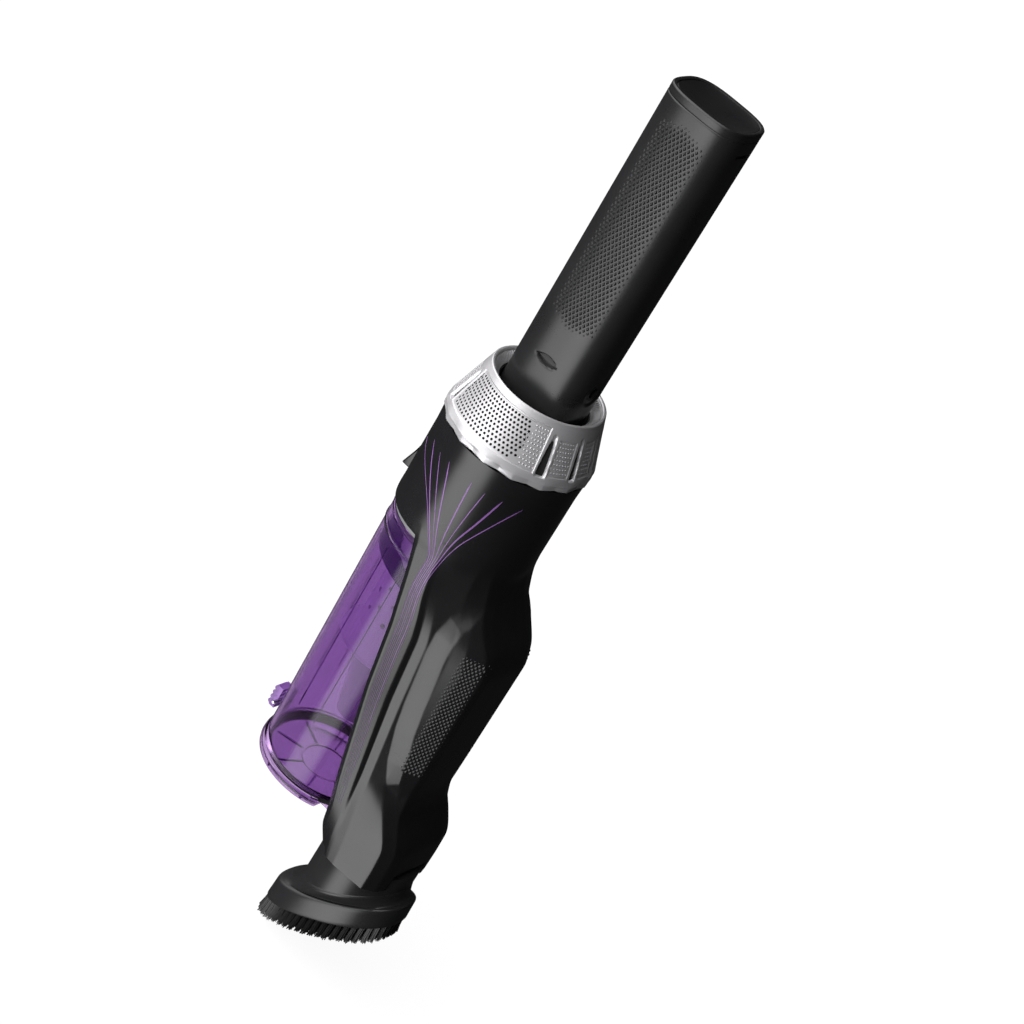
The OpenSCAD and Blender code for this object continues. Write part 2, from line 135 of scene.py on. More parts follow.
class Paint:
    """One material: its Principled shader, and the nodes that feed it."""

    def __init__(self, name, **settings):
        self.material = bpy.data.materials.new(name)
        self.material.use_nodes = True
        self.tree = self.material.node_tree
        self.shader = self.tree.nodes["Principled BSDF"]
        for key, value in settings.items():
            self.shader.inputs[key.replace("_", " ")].default_value = value

    def node(self, kind, settings, *values, out=0, **named):
        made = self.tree.nodes.new(kind)
        for key, value in settings.items():
            setattr(made, key, value)
        for key, value in [*enumerate(values), *named.items()]:
            if isinstance(value, Wire):
                self.tree.links.new(value.socket, made.inputs[key])
            else:
                made.inputs[key].default_value = value
        return Wire(self, made.outputs[out])

    def feed(self, **wires):
        for key, wire in wires.items():
            self.tree.links.new(wire.socket, self.shader.inputs[key.replace("_", " ")])

    def place(self):
        return self.node("ShaderNodeTexCoord", {}, out="Object")

    def noise(self, scale, detail=3.0):
        return self.node("ShaderNodeTexNoise", {}, Vector=self.place(), Scale=scale, Detail=detail,
                         Roughness=NOISE_ROUGH)

    def streaks(self, stretch, detail):
        """Noise that is squeezed on some axes, so that it runs in lines."""
        where = self.node("ShaderNodeMapping", {}, Vector=self.place(), Scale=stretch)
        return self.node("ShaderNodeTexNoise", {}, Vector=where, Scale=1.0, Detail=detail, Roughness=NOISE_ROUGH)

    def mix(self, mask, first, second):
        made = self.node("ShaderNodeMix", {"data_type": "RGBA"}, mask, out=2)
        for socket, colour in ((6, first), (7, second)):
            made.socket.node.inputs[socket].default_value = (*colour, 1)
        return made

    def bump(self, height, strength, distance):
        return self.node("ShaderNodeBump", {}, Strength=strength, Distance=distance, Height=height)


finishes = {}
print("shader helpers:", Wire.__name__, Paint.__name__)

# %% [markdown]
# Moulded plastic is never one flat colour. Its grain is a shallow spark-eroded texture, and its colour and its
# gloss change a little over a hand's width. One recipe makes them all, and the settings give each part its own
# colour, gloss and grain.

# %% Moulded plastics, rubbers and metals
def moulded(name, colour, rough, grain=0.15, grain_size=2600.0, spread=0.06, **settings):
    paint = Paint(name, Roughness=rough, **settings)
    broad = paint.noise(38.0, 4.0)
    fine = paint.noise(grain_size, 2.0)
    light = tuple(min(1.0, c * 1.18 + 0.004) for c in colour)
    dark = tuple(c * 0.86 for c in colour)
    paint.feed(Base_Color=paint.mix(broad, dark, light),
               Roughness=(broad - 0.5) * spread * 2 + (fine - 0.5) * spread + rough,
               Normal=paint.bump(fine, grain, 0.00005))
    finishes[name] = paint.material


def brushed(name, colour, rough, stretch=(900.0, 900.0, 60.0)):
    paint = Paint(name, Metallic=1.0, Roughness=rough)
    lines = paint.streaks(stretch, 2.0)
    cloud = paint.noise(60.0)
    paint.feed(Base_Color=paint.mix(cloud, tuple(c * 0.85 for c in colour), colour),
               Roughness=(lines - 0.5) * 0.2 + rough, Normal=paint.bump(lines, 0.12, 0.00004))
    finishes[name] = paint.material


moulded("shell_black", (0.009, 0.009, 0.010), 0.25, 0.05)
moulded("ring_silver", (0.62, 0.61, 0.63), 0.36, 0.10, Metallic=0.5)
moulded("funnel_grey", (0.36, 0.36, 0.37), 0.34, 0.10, 1500.0, 0.05, Metallic=0.4)
# painted shade: a near-black finish that stands in for the shade in gaps and bores
moulded("painted_shade_black", (0.006, 0.006, 0.006), 0.6, 0.10, 1500.0)
moulded("collar_grey", (0.30, 0.30, 0.31), 0.38, 0.10, Metallic=0.3)
moulded("handle_grey", (0.014, 0.014, 0.015), 0.30, 0.20, 1900.0)
moulded("cap_grey", (0.009, 0.009, 0.010), 0.30, 0.08)
moulded("foam_black", (0.010, 0.010, 0.010), 0.9, 0.9, 1400.0)
moulded("rubber_black", (0.012, 0.012, 0.012), 0.6, 0.3, 1500.0)
moulded("inner_plastic", (0.045, 0.045, 0.048), 0.5, 0.2)
moulded("brush_grey", (0.015, 0.015, 0.016), 0.31, 0.20, 1900.0)
moulded("bristle_black", (0.003, 0.003, 0.003), 0.45, 0.2)
moulded("socket_black", (0.010, 0.010, 0.011), 0.4, 0.2)
moulded("lens_dark", (0.003, 0.003, 0.004), 0.45, 0.02)
moulded("wire_red", (0.45, 0.02, 0.015), 0.42, 0.1)
moulded("board_green", (0.015, 0.12, 0.05), 0.35, 0.2, 900.0)
moulded("cell_wrap", (0.03, 0.22, 0.13), 0.3, 0.05)
moulded("filter_white", (0.72, 0.72, 0.69), 0.85, 0.5, 700.0)
moulded("magnet", (0.10, 0.10, 0.105), 0.45, 0.2, Metallic=0.7)
moulded("shroud_grey", (0.80, 0.76, 0.84), 0.3, 0.08)
brushed("steel", (0.62, 0.62, 0.63), 0.3)
brushed("copper", (0.80, 0.42, 0.22), 0.34, (60.0, 60.0, 1500.0))
moulded("knurl_black", (0.020, 0.020, 0.021), 0.34, 0.05)
print("finishes so far:", len(finishes))

# %% [markdown]
# The dust bin is one clear tinted plastic. Light is tinted each time it passes a wall, so a wall seen edge-on
# looks deeper in colour than one seen square-on, as in the real cup. Fine moulding streaks run down it.

# %% Clear purple plastics
CLEAR_IOR = 1.35


def clear(name, colour, rough, streak, through=1.0):
    paint = Paint(name, Transmission_Weight=through, IOR=CLEAR_IOR, Roughness=rough)
    lines = paint.streaks((900.0, 900.0, 5.0), 3.0)
    paint.feed(Base_Color=paint.mix(lines, tuple(c * 0.76 for c in colour), colour),
               Roughness=(lines - 0.5) * 0.06 + rough, Normal=paint.bump(lines, streak, 0.0001))
    finishes[name] = paint.material


clear("bin_purple", (0.50, 0.31, 0.63), 0.04, 0.22)
clear("cone_clear", (0.88, 0.80, 0.94), 0.12, 0.05, 0.35)
clear("latch_purple", (0.42, 0.20, 0.64), 0.10, 0.05, 0.6)
clear("ramp_purple", (0.30, 0.12, 0.46), 0.10, 0.05, 0.5)
moulded("stripe_purple", (0.25, 0.11, 0.36), 0.36, 0.04)
print("finishes in all:", len(finishes))

# %% [markdown]
# The imported record gives every CAD piece a material slot, and the finishes carry the slots' names. The plate
# under the handle sits in the dark gap round it, so it alone wears near-black painted shade, not its slot's
# colour.

# %% Every CAD node takes the finish of its material slot
for row in frame["record"]["subparts"]:
    node = nodes[row["node"]]
    node.data.materials.clear()
    node.data.materials.append(finishes[row["material_slot"]])
# painted shade: the plate in the gap under the handle is made near-black for the gap's shade
nodes["handle_mount"].data.materials[0] = finishes["painted_shade_black"]
print("nodes with a finish:", sum(1 for n in nodes.values() if n.data.materials[0]))

# %% [markdown]
# Every new piece ends the same way: it rides on its body, wears its finish, hides the CAD nodes it stands for,
# and its curved faces are shaded smooth up to a given angle. Two builders cover the shapes that a
# person would turn or loft: a profile spun round an axis, and a skin through rows of points.

# %% Helpers that finish a piece
WELD = 0.00001


def only(obj):
    bpy.ops.object.select_all(action="DESELECT")
    obj.select_set(True)
    bpy.context.view_layer.objects.active = obj


def finish_piece(obj, body, finish, replaced=(), angle=32):
    only(obj)
    bpy.ops.object.transform_apply(location=True, rotation=True, scale=True)
    bpy.ops.object.shade_smooth_by_angle(angle=math.radians(angle))
    obj.data.materials.clear()
    obj.data.materials.append(finishes[finish])
    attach(obj, body)
    if replaced:
        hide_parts(*replaced)
    print(obj.name, "faces:", len(obj.data.polygons))
    return obj


def piece_from(name, points, faces):
    mesh = bpy.data.meshes.new(name)
    mesh.from_pydata([tuple(p) for p in points], [], faces)
    obj = bpy.data.objects.new(name, mesh)
    bpy.context.scene.collection.objects.link(obj)
    return obj


def edit(obj, *steps):
    """Goes into edit mode on obj, runs the steps and comes back."""
    only(obj)
    bpy.ops.object.mode_set(mode="EDIT")
    for step in steps:
        bpy.ops.mesh.select_all(action="SELECT")
        step()
    bpy.ops.object.mode_set(mode="OBJECT")
    return obj


def weld():
    bpy.ops.mesh.remove_doubles(threshold=WELD)


def outward():
    """Turns all faces alike, then outwards: a closed wall has a positive volume only that way."""
    bpy.ops.mesh.normals_make_consistent(inside=False)
    bm = bmesh.from_edit_mesh(bpy.context.object.data)
    if bm.calc_volume(signed=True) < 0:
        bpy.ops.mesh.flip_normals()


def spun(name, profile, steps=128, x=0.0):
    """Spins a profile of (radius, height) round an upright axis, as on a lathe."""
    obj = piece_from(name, [at(x + r, 0, z) for r, z in profile], [])
    bm = bmesh.new()
    bm.from_mesh(obj.data)
    bm.verts.ensure_lookup_table()
    for i in range(len(profile)):
        bm.edges.new((bm.verts[i], bm.verts[(i + 1) % len(profile)]))
    bm.to_mesh(obj.data)
    bm.free()
    centre = at(x, 0, 0)
    return edit(obj, lambda: bpy.ops.mesh.spin(steps=steps, angle=math.tau, center=centre, axis=(0, 0, 1)),
                weld, outward)


def skin(name, rows, closed=True, capped=True):
    """A skin through rows of the same number of points; closed rows meet themselves."""
    count, points, faces = len(rows[0]), [p for row in rows for p in row], []
    for k in range(len(rows) - 1):
        for i in range(count if closed else count - 1):
            j = (i + 1) % count
            faces.append((k * count + i, k * count + j, (k + 1) * count + j, (k + 1) * count + i))
    if capped:
        last = (len(rows) - 1) * count
        faces += [tuple(range(count - 1, -1, -1)), tuple(range(last, last + count))]
    return edit(piece_from(name, points, faces), weld, outward)


def block(place, size, turn=0.0):
    """A box in millimetres, to cut or shape."""
    bpy.ops.mesh.primitive_cube_add(size=1, location=at(*place), scale=Vector(size) * MM, rotation=(0, 0, turn))
    return bpy.context.object


def rod(place, radius, long, sides, turn=(0, 0, 0)):
    """A round rod in millimetres, to cut or shape."""
    bpy.ops.mesh.primitive_cylinder_add(vertices=sides, radius=radius * MM, depth=long * MM,
                                        location=at(*place), rotation=turn)
    return bpy.context.object


def apply(obj, kind, **settings):
    """Adds one modifier and applies it at once."""
    only(obj)
    modifier = obj.modifiers.new("step", kind)
    for key, value in settings.items():
        setattr(modifier, key, value)
    bpy.ops.object.modifier_apply(modifier="step")


def cut(obj, core):
    """Takes one core out of a shell, as a mould's core leaves a hollow."""
    apply(obj, "BOOLEAN", object=core, operation="DIFFERENCE", solver="MANIFOLD")
    bpy.data.objects.remove(core)


def ease(t):
    t = np.clip(t, 0.0, 1.0)
    return t * t * (3 - 2 * t)


def soften(values, width, axis=0):
    """Rounds the corners of a row of samples with a bell-shaped average; its ends stay."""
    reach = int(math.ceil(width * 3))
    bell = np.exp(-0.5 * (np.arange(-reach, reach + 1) / width) ** 2)
    bell /= bell.sum()
    moved = np.moveaxis(values, axis, 0)
    first = 2 * moved[:1] - moved[1:reach + 1][::-1]
    last = 2 * moved[-1:] - moved[-reach - 1:-1][::-1]
    padded = np.concatenate([first, moved, last])
    out = sum(w * padded[i:i + len(moved)] for i, w in enumerate(bell))
    return np.moveaxis(out, 0, axis)


print("a smooth step at 0, 0.5 and 1:", ease(np.array([0, 0.5, 1])))

# %% [markdown]
# The housing is two mirrored shells of glossy black plastic, joined down the middle of the drum and the duct.
# Each side carries a raised band from the bin's edge, a groove, a flat and a raised grip with a domed top.
# It could be sculpted, but its edges follow exact lines, so each shell is lofted: a short outline is written
# for a few depths, every outline is filled in between, and the grip is raised by its distance from its edge.

# %% The lines that run down the side of the housing
# One row a depth: front edge, band's back edge, groove, step, valley, rear edge, back edge and seam, each as
# x and distance from the seam plane.
SIDE = [
    (-80, (-5, 37), (12, 34.6), (14, 33.8), (19, 31), (28, 24), (32, 17.5), (34.5, 9), (35.0, 0)),
    (-87, (-3, 37.5), (12.5, 35.2), (14.2, 34.2), (19.6, 31.4), (29, 25), (33.8, 18), (36, 9.5), (36.2, 0)),
    (-93, (-2, 37.9), (13, 36.2), (14.6, 35), (20, 31.8), (30, 26), (35.7, 18), (37.2, 11), (37.4, 0)),
    (-102, (0.5, 38.1), (14, 36.4), (15.8, 34.8), (20.6, 31.8), (31, 25.8), (38.8, 18.5), (40.2, 12), (40.4, 0)),
    (-112, (3, 38.1), (16, 35.8), (17.8, 34), (22.6, 31.6), (34, 25.6), (45.4, 19), (47, 13), (47.2, 0)),
    (-122, (5, 37.8), (19, 34.8), (20.8, 33), (26, 31.2), (38, 25), (54, 19), (55.8, 14), (56, 0)),
    (-133, (7.5, 37.4), (21.5, 33.8), (23.3, 31.8), (28.6, 30.8), (40, 24.8), (57.4, 18.6), (58.8, 15), (59, 0)),
    (-170, (13, 36), (25.5, 32.4), (27.2, 30.4), (32.4, 30), (43, 24.6), (57.4, 18.6), (58.8, 15), (59, 0)),
    (-215, (21.5, 33), (32.5, 30.8), (34, 29.2), (38.5, 29), (46, 25.6), (57.4, 18.6), (58.8, 15), (59, 0)),
    (-226, (23.5, 32), (34, 30.4), (35.6, 29.4), (40, 29.4), (54.5, 27), (60, 20.4), (60.4, 15), (60.6, 0)),
    (-236, (25.7, 31), (35.3, 30.2), (37.2, 29.6), (42, 29.8), (61.5, 27.8), (66.5, 22), (67.6, 15.4), (68, 0)),
    (-242, (26.9, 30.4), (36.2, 30), (38.4, 29.8), (43.5, 30), (64.5, 27.7), (69.6, 22), (71.2, 15.4), (71.4, 0)),
    (-256, (28.5, 28.6), (37.5, 29.8), (40, 30), (46, 30.2), (65.5, 27.6), (70.2, 21.8), (72, 15.3), (72.2, 0)),
    (-268, (33, 25), (40, 29.4), (42, 29.7), (47, 30), (65.5, 27.4), (70.2, 21.6), (72, 15.2), (72.2, 0))]
GRIP_EDGE = [(41, -100.5), (34, -105), (29.8, -113), (28.6, -124), (29.6, -136), (31.4, -150), (33.4, -166),
             (36, -181), (41, -200), (46.5, -213), (54, -217), (58.6, -212), (59.2, -200), (59.2, -134),
             (57, -126), (54, -117), (48.5, -106)]
GRIP_HEIGHT, GRIP_SLOPE = 3.4, 10.0
print("housing lines at", len(SIDE), "depths, grip outline of", len(GRIP_EDGE), "points")


def distance_inside(x, z, edge):
    """How far points lie inside a closed outline; negative outside."""
    best, inside = np.full(x.shape, 1e9), np.zeros(x.shape, bool)
    for (ax, az), (bx, bz) in zip(edge, edge[1:] + edge[:1]):
        t = np.clip(((x - ax) * (bx - ax) + (z - az) * (bz - az)) / ((bx - ax) ** 2 + (bz - az) ** 2), 0, 1)
        best = np.minimum(best, np.hypot(x - ax - t * (bx - ax), z - az - t * (bz - az)))
        crosses = (az > z) != (bz > z)
        with np.errstate(divide="ignore", invalid="ignore"):
            inside ^= crosses & (x < (bx - ax) * (z - az) / (bz - az) + ax)
    return np.where(inside, best, -best)


# %% Fill the lines in to a fine grid
SIDE_STEPS = (8, 24, 6, 12, 22, 26, 8, 24)
SIDE_DEPTHS = np.concatenate([np.arange(-33, -80, -1.0), np.arange(-80, -268.01, -1.0)])


def side_grid():
    keys = np.array([row[0] for row in SIDE], float)
    lines = np.array([row[1:] for row in SIDE], float)
    # the very front is a narrow chamfer, so the band starts a little behind the front edge
    lines = np.insert(lines, 1, lines[:, 0] + (2.6, -0.3), axis=1)
    lines[:, 0] -= (0, 1.5)
    flat = np.empty((len(SIDE_DEPTHS), 9, 2))
    for c in range(9):
        for k in range(2):
            flat[:, c, k] = np.interp(SIDE_DEPTHS, keys[::-1], lines[::-1, c, k])
    low_rows = SIDE_DEPTHS < -84
    flat[low_rows] = soften(flat, 2.2)[low_rows]
    flat[-8:] = np.linspace(flat[-9], lines[-1], 9)[1:]
    columns = [flat[:, s, None] + (flat[:, s + 1, None] - flat[:, s, None]) *
               (np.arange(n) / n)[None, :, None] for s, n in enumerate(SIDE_STEPS)]
    grid = np.concatenate([*columns, flat[:, -1:]], axis=1)
    grid = soften(grid, 1.1, axis=1)
    grid[:, -1, 1] = 0
    # the motor drum is round down to its floor, then its shape runs out into the side
    radius = np.hypot(grid[..., 0], grid[..., 1])
    drum = 38.0 + 0.4 * ease((SIDE_DEPTHS + 45) / 12) - 6.5 * ease((-84 - SIDE_DEPTHS) / 24)
    gap = drum[:, None] - radius
    fuller = radius + 0.9 * np.log1p(np.exp(np.clip(gap / 0.9, -30, 30)))
    fuller = np.where(SIDE_DEPTHS[:, None] >= -80, drum[:, None], fuller)
    grid *= (fuller / radius)[..., None]
    return grid


side = side_grid()
depths = np.repeat(SIDE_DEPTHS[:, None], side.shape[1], 1)
print("side grid:", side.shape)

# %% Raise the grip
inside = distance_inside(side[..., 0], depths, GRIP_EDGE) / GRIP_SLOPE
grip = 0.75 * np.clip(inside, 0, 1) + 0.25 * ease(inside)
grip_top = GRIP_HEIGHT * grip * (0.75 + 0.25 * ease((-104 - depths) / 30))
outwards = np.dstack([np.full(depths.shape, 0.12), np.full(depths.shape, 0.99), np.zeros(depths.shape)])
raised = np.dstack([side, depths]) + outwards * grip_top[..., None]
raised[:, -1, 1] = 0
print("grip stands out by up to", round(float(grip_top.max()), 2), "mm")

# %% [markdown]
# A closed shell needs an inner side too. Down to the drum's floor that is the round front of the drum, and
# below it the round bay that the dust bin sits in, so both are walked as a second path from the seam to the
# front edge. The motor chamber, the seat of the brush neck and the pocket of the release button are then cut
# out one after another, as a toolmaker would add cores to a mould.

# %% Close each side into a shell
BAY_STEPS, BAY_GAP = 36, 0.6
CUP_TOP, CUP_LOW, CUP_LONG = 36.4, 33.7, 164.5


def cup_taper(z):
    """The plain outer radius of the dust bin's cup, without its beads and foot."""
    return CUP_TOP + (CUP_LOW - CUP_TOP) * (DRUM_LOW - z) / CUP_LONG


def inner_path(z, front, in_drum):
    """From the seam plane round to the front edge, on the drum's front or in the bin's bay."""
    t = np.linspace(0, 1, BAY_STEPS, endpoint=False)
    fx, fy = front
    if in_drum:
        turn = math.atan2(fy, fx)
        a = math.pi + (turn - math.pi) * t
        radius = math.hypot(fx, fy)
        return np.stack([radius * np.cos(a), radius * np.sin(a)], 1)
    if z > -254.6:
        centre, radius = (0.0, cup_taper(z) + BAY_GAP) if z > -238 else (1.5, 38.1)
        reach = min(max((fx - centre) / radius, -1), 1)
        a = math.acos(reach) * t
        return np.stack([centre + radius * np.cos(a), radius * np.sin(a)], 1)
    corner = np.array([[37.0, 0], [37.0, 24.6], [fx, 24.9]]) if z > -264.2 else \
        np.array([[fx, 0], [fx, fy * 0.5], [fx, fy - 0.1]])
    walk = np.concatenate([[0], np.cumsum(np.linalg.norm(np.diff(corner, axis=0), axis=1))])
    return np.stack([np.interp(t * walk[-1], walk, corner[:, k]) for k in range(2)], 1)


def housing_rows(sign):
    rows = []
    for k, z in enumerate(SIDE_DEPTHS):
        for in_drum in ([True, False] if z == DRUM_LOW else [z > DRUM_LOW]):
            inner = inner_path(z, raised[k, 0, :2], in_drum)
            loop = [(x, y, z if in_drum or z < DRUM_LOW else z - 0.02) for x, y in inner]
            loop += [tuple(p) for p in raised[k]]
            rows.append([at(x, sign * max(y, 0.01), zz) for x, y, zz in loop])
    return rows


def cores():
    """The motor chamber, the neck's seat, the spigot's bore and the release button's pocket."""
    for r, z0, z1, x in ((35.8, -84.5, -30.0, 0.0), (26.1, -275.0, -259.0, 50.0),
                         (14.0, -262.0, -240.2, SPIGOT_X)):
        yield rod((x, 0, (z0 + z1) / 2), r, z1 - z0, 128)
    yield block((-39, 0, -74), (12, 18.6, 14.6))


for sign, side_name in SIDES:
    shell = skin(f"housing_shell_{side_name}", housing_rows(sign))
    for core in cores():
        cut(shell, core)
    finish_piece(shell, "main_unit", "shell_black", [f"housing_{side_name}"], angle=28)

# %% [markdown]
# Purple stripes fan out over the drum and then run side by side down the band. On the real shell they are
# thin inlays. A flat strip would float off the curved shell, so each stripe is a shallow bar whose every
# station takes its place and its normal from the housing's own surface.

# %% Stripes laid into the band
def on_side(x, z):
    """The point of the housing's side at x and z, for positive y, and its outward normal."""
    def y_at(x, z):
        k = np.interp(-z, -SIDE_DEPTHS, np.arange(len(SIDE_DEPTHS)))
        found = []
        for row in (int(k), min(int(k) + 1, len(SIDE_DEPTHS) - 1)):
            xs, ys = raised[row, :, 0], raised[row, :, 1]
            if SIDE_DEPTHS[row] >= DRUM_LOW and x < xs[0]:
                found.append(math.sqrt(max(math.hypot(xs[0], ys[0]) ** 2 - x * x, 0)))
            else:
                found.append(float(np.interp(x, xs, ys)))
        return found[0] + (found[1] - found[0]) * (k - int(k))
    y = y_at(x, z)
    along = Vector((0.8, y_at(x + 0.4, z) - y_at(x - 0.4, z), 0))
    down = Vector((0, y_at(x, z - 0.7) - y_at(x, z + 0.7), -1.4))
    n = down.cross(along).normalized()
    return Vector((x, y, z)), n if n.y > 0 else -n


# Where each stripe starts, how it bends on the drum, its place across the band and its half width
STRIPES = [
    ([(-30.5, -52), (-17, -59), (-5.4, -70)], 0.00, 0.16),
    ([(-22.8, -46), (-14.4, -56.5), (-4.4, -69.4)], 0.10, 0.30),
    ([(-14.9, -46), (-7.9, -57), (0.9, -72)], 0.24, 0.20),
    ([(-7.3, -45), (-3.8, -53.2), (4.1, -74.5)], 0.38, 0.30),
    ([(7.8, -45.2), (8.3, -58.4), (9.5, -77.5)], 0.54, 0.30),
    ([(15.3, -46), (13.6, -60.5), (12.2, -78)], 0.68, 0.22),
    ([(23, -45.6), (19.1, -61.7), (14.5, -77)], 0.84, 0.42),
    ([(30.6, -46), (24, -61), (17, -77)], 1.00, 0.26)]
STRIPE_END = (-238, -228, -216)
BAND_DEPTHS = (-90, -112, -140, -196, -250)
BAND_FROM = (0.72, 0.42, 0.33, 0.36, 0.40)
BAND_TO = (1.10, 0.86, 0.74, 0.78, 0.80)


def band_x(z, share):
    front = np.interp(-z, [-r[0] for r in SIDE], [r[1][0] for r in SIDE])
    rear = np.interp(-z, [-r[0] for r in SIDE], [r[2][0] for r in SIDE])
    f = np.interp(-z, [-d for d in BAND_DEPTHS], [a + (b - a) * share for a, b in zip(BAND_FROM, BAND_TO)])
    return front + (rear - front) * f


def stripe_rows(fan, share, half, sign):
    band = range(-90, -242, -3)
    zs = [z for _, z in fan] + list(band)
    xs = [x for x, _ in fan] + [band_x(z, share) for z in band]
    line = np.arange(zs[0], STRIPE_END[round(share * 50) % 3], -1.0)
    path = soften(np.interp(-line, [-z for z in zs], xs), 4.0)
    rows = []
    for i, z in enumerate(line):
        p, n = on_side(path[i], z)
        wide = half * min(1.0, 0.3 + i / 6) * float(np.interp(-z, [60, 90, 130, 230], [1, 0.55, 0.30, 0.14]))
        step = Vector((path[min(i + 1, len(line) - 1)] - path[max(i - 1, 0)], 0, -2))
        across = n.cross(step).normalized() * wide
        loop = [p - across - n * 0.3, p - across + n * 0.06, p + n * 0.11, p + across + n * 0.06,
                p + across - n * 0.3]
        rows.append([at(q.x, sign * q.y, q.z) for q in loop])
    return rows


for sign, side_name in SIDES:
    for i, (fan, share, half) in enumerate(STRIPES):
        stripe = skin(f"stripe_{side_name}_{i + 1}", stripe_rows(fan, share, half, sign))
        finish_piece(stripe, "main_unit", "stripe_purple", angle=60)

# %% [markdown]
# The grip is knurled: a field of small raised diamonds. A bump map would vanish at the outline, so one low
# diamond is modelled by pushing the middle of a four-sided disc up, and it is copied over the grip.

# %% One diamond, copied over a surface
def take_shape(obj):
    """The points and faces of a small pattern piece, which is removed."""
    shape = ([tuple(v.co) for v in obj.data.vertices], [tuple(p.vertices) for p in obj.data.polygons])
    bpy.data.objects.remove(obj)
    return shape


def diamond():
    """One low four-sided pyramid with a flattened tip, one unit from corner to corner."""
    bpy.ops.mesh.primitive_circle_add(vertices=4, radius=0.5, fill_type="NGON")
    obj = bpy.context.object

    def tip():
        bpy.ops.mesh.inset(thickness=0.28, depth=0.0)
        bpy.ops.transform.translate(value=(0, 0, 0.22))

    return take_shape(edit(obj, tip))


def scatter(name, shape, spots):
    """Copies one small shape to many spots: each spot is a point, a normal, a direction and three sizes."""
    points, faces = [], []
    for p, n, along, (a, b, c) in spots:
        u = (along - n * along.dot(n)).normalized()
        v = n.cross(u)
        first = len(points)
        points += [p + u * (q[0] * a) + v * (q[1] * b) + n * (q[2] * c) for q in shape[0]]
        faces += [tuple(first + i for i in f) for f in shape[1]]
    return piece_from(name, [at(*p) for p in points], faces)


knurl = diamond()
KNURL_CORNERS = ((45.4, 57.4), (49.0, 58.2))
KNURL_TOP, KNURL_LOW = -125.5, -203.0
for sign, side_name in SIDES:
    spots = []
    for row in range(50):
        z = KNURL_TOP - row * 1.5
        t = (KNURL_TOP - z) / (KNURL_TOP - KNURL_LOW)
        x0, x1 = (a + (b - a) * t for a, b in zip(*KNURL_CORNERS))
        for col in range(12):
            x = x0 + (col + 0.5 * (row % 2)) * 1.75
            edge = min(x - x0 + 0.9, x1 - x, (KNURL_TOP - z) + 0.8, (z - KNURL_LOW) + 3)
            corner = min((x - x0) + (KNURL_TOP - z), (x1 - x) + (z - KNURL_LOW)) + 1
            reach = min(edge, corner * 0.6)
            if reach <= 0.4:
                continue
            p, n = on_side(x, z)
            size = min(1.0, reach / 1.6)
            p, n = Vector((p.x, sign * p.y, p.z)), Vector((n.x, sign * n.y, n.z))
            spots.append((p - n * 0.05, n, Vector((0, 0, 1)), (2.35 * size, 1.75 * size, 2.6 * size)))
    patch = scatter(f"grip_knurl_{side_name}", knurl, spots)
    finish_piece(patch, "main_unit", "knurl_black", angle=5)

# %% [markdown]
# The exhaust ring is a silver cone round the top of the motor drum. Its wall carries, on each side, a recessed
# screen of real holes, then small moulded dimples, deep tapered flutes and dimpled panels, and it ends in a
# skirt of triangular facets. It is one fine grid bent into a cone, pushed in and out by a relief function.

# %% The relief of the exhaust ring
RING_TOP, RING_LOW, RING_DEPTH = 30.0, 39.45, 29.0
SCREEN_REAR, SCREEN_FRONT, SCREEN_TOP, SCREEN_LOW = 30.0, 43.5, -4.5, -24.5
SCREEN_RECESS, FLUTES, FACET = 0.45, (50.5, 78.5), 22.5


def ring_radius(z):
    return RING_TOP - z * (RING_LOW - RING_TOP) / RING_DEPTH


def from_side(turn):
    """Angle in degrees from the nearest point that faces straight out to one side."""
    return abs((turn % 180) - 90)


def facet_point(turn):
    """One at the tip of a facet of the skirt, and zero between two facets."""
    return 1 - abs(2 * ((turn / FACET) % 1.0) - 1)


def ring_relief(turn, z):
    """How far the ring's wall stands out, in millimetres; a recess is negative."""
    a, out = from_side(turn), 0.0
    in_height = ease((-3.2 - z) / 0.7) * ease((z + 25.6) / 0.5)
    out -= SCREEN_RECESS * in_height * ease((45.0 - a) / 0.8)
    for lo, hi in ((55.5, 73.5), (83.5, 96.5)):
        b = 90 - abs(90 - a)
        out -= 0.4 * ease((-7.4 - z) / 0.6) * ease((z + 25.2) / 0.4) * ease((b - lo) / 0.8) * ease((hi - b) / 0.8)
    for centre in FLUTES:
        half = np.interp(-z, [4, 9, 24], [1.6, 3.2, 4.6]) * (1 if centre < 60 else 0.75)
        tall = ease((-5.0 - z) / 3) * ease((z + 26.6) / 1.2)
        out -= (0.6 + 3.6 * ease((-5 - z) / 14)) * tall * ease((half - abs(a - centre)) / (0.8 * half))
    out += ease((-25.8 - z) / 6.0) * (0.9 * facet_point(turn) - 0.75)
    return float(out)


def ring_rows():
    top = [(28.3, -0.7), (28.9, -0.15), (29.6, -0.0)]
    wall = [(ring_radius(z), z) for z in np.concatenate([np.arange(-0.4, -28.9, -0.4), [-29.0]])]
    skirt = [(RING_LOW - 0.02 * i, -29 - 0.45 * i) for i in range(1, 8)]
    rim = [(38.6, -32.85), (36.8, -32.9), (36.7, -30.2), (37.0, -26.4), (27.9, -3.6)]
    rows = []
    for k, (r, z) in enumerate(top + wall + skirt + rim):
        row = []
        for turn in np.arange(0, 360, 0.5):
            push = ring_relief(turn, z) if len(top) <= k < len(top) + len(wall) + len(skirt) else 0.0
            drop = (1 - facet_point(turn)) * 1.3 * ease((-28 - z) / 4) if z < -28 else 0.0
            row.append(polar(r + push, math.radians(turn), z + drop))
        rows.append(row)
    return rows + [rows[0]]


ring = skin("ring_shell", ring_rows(), capped=False)


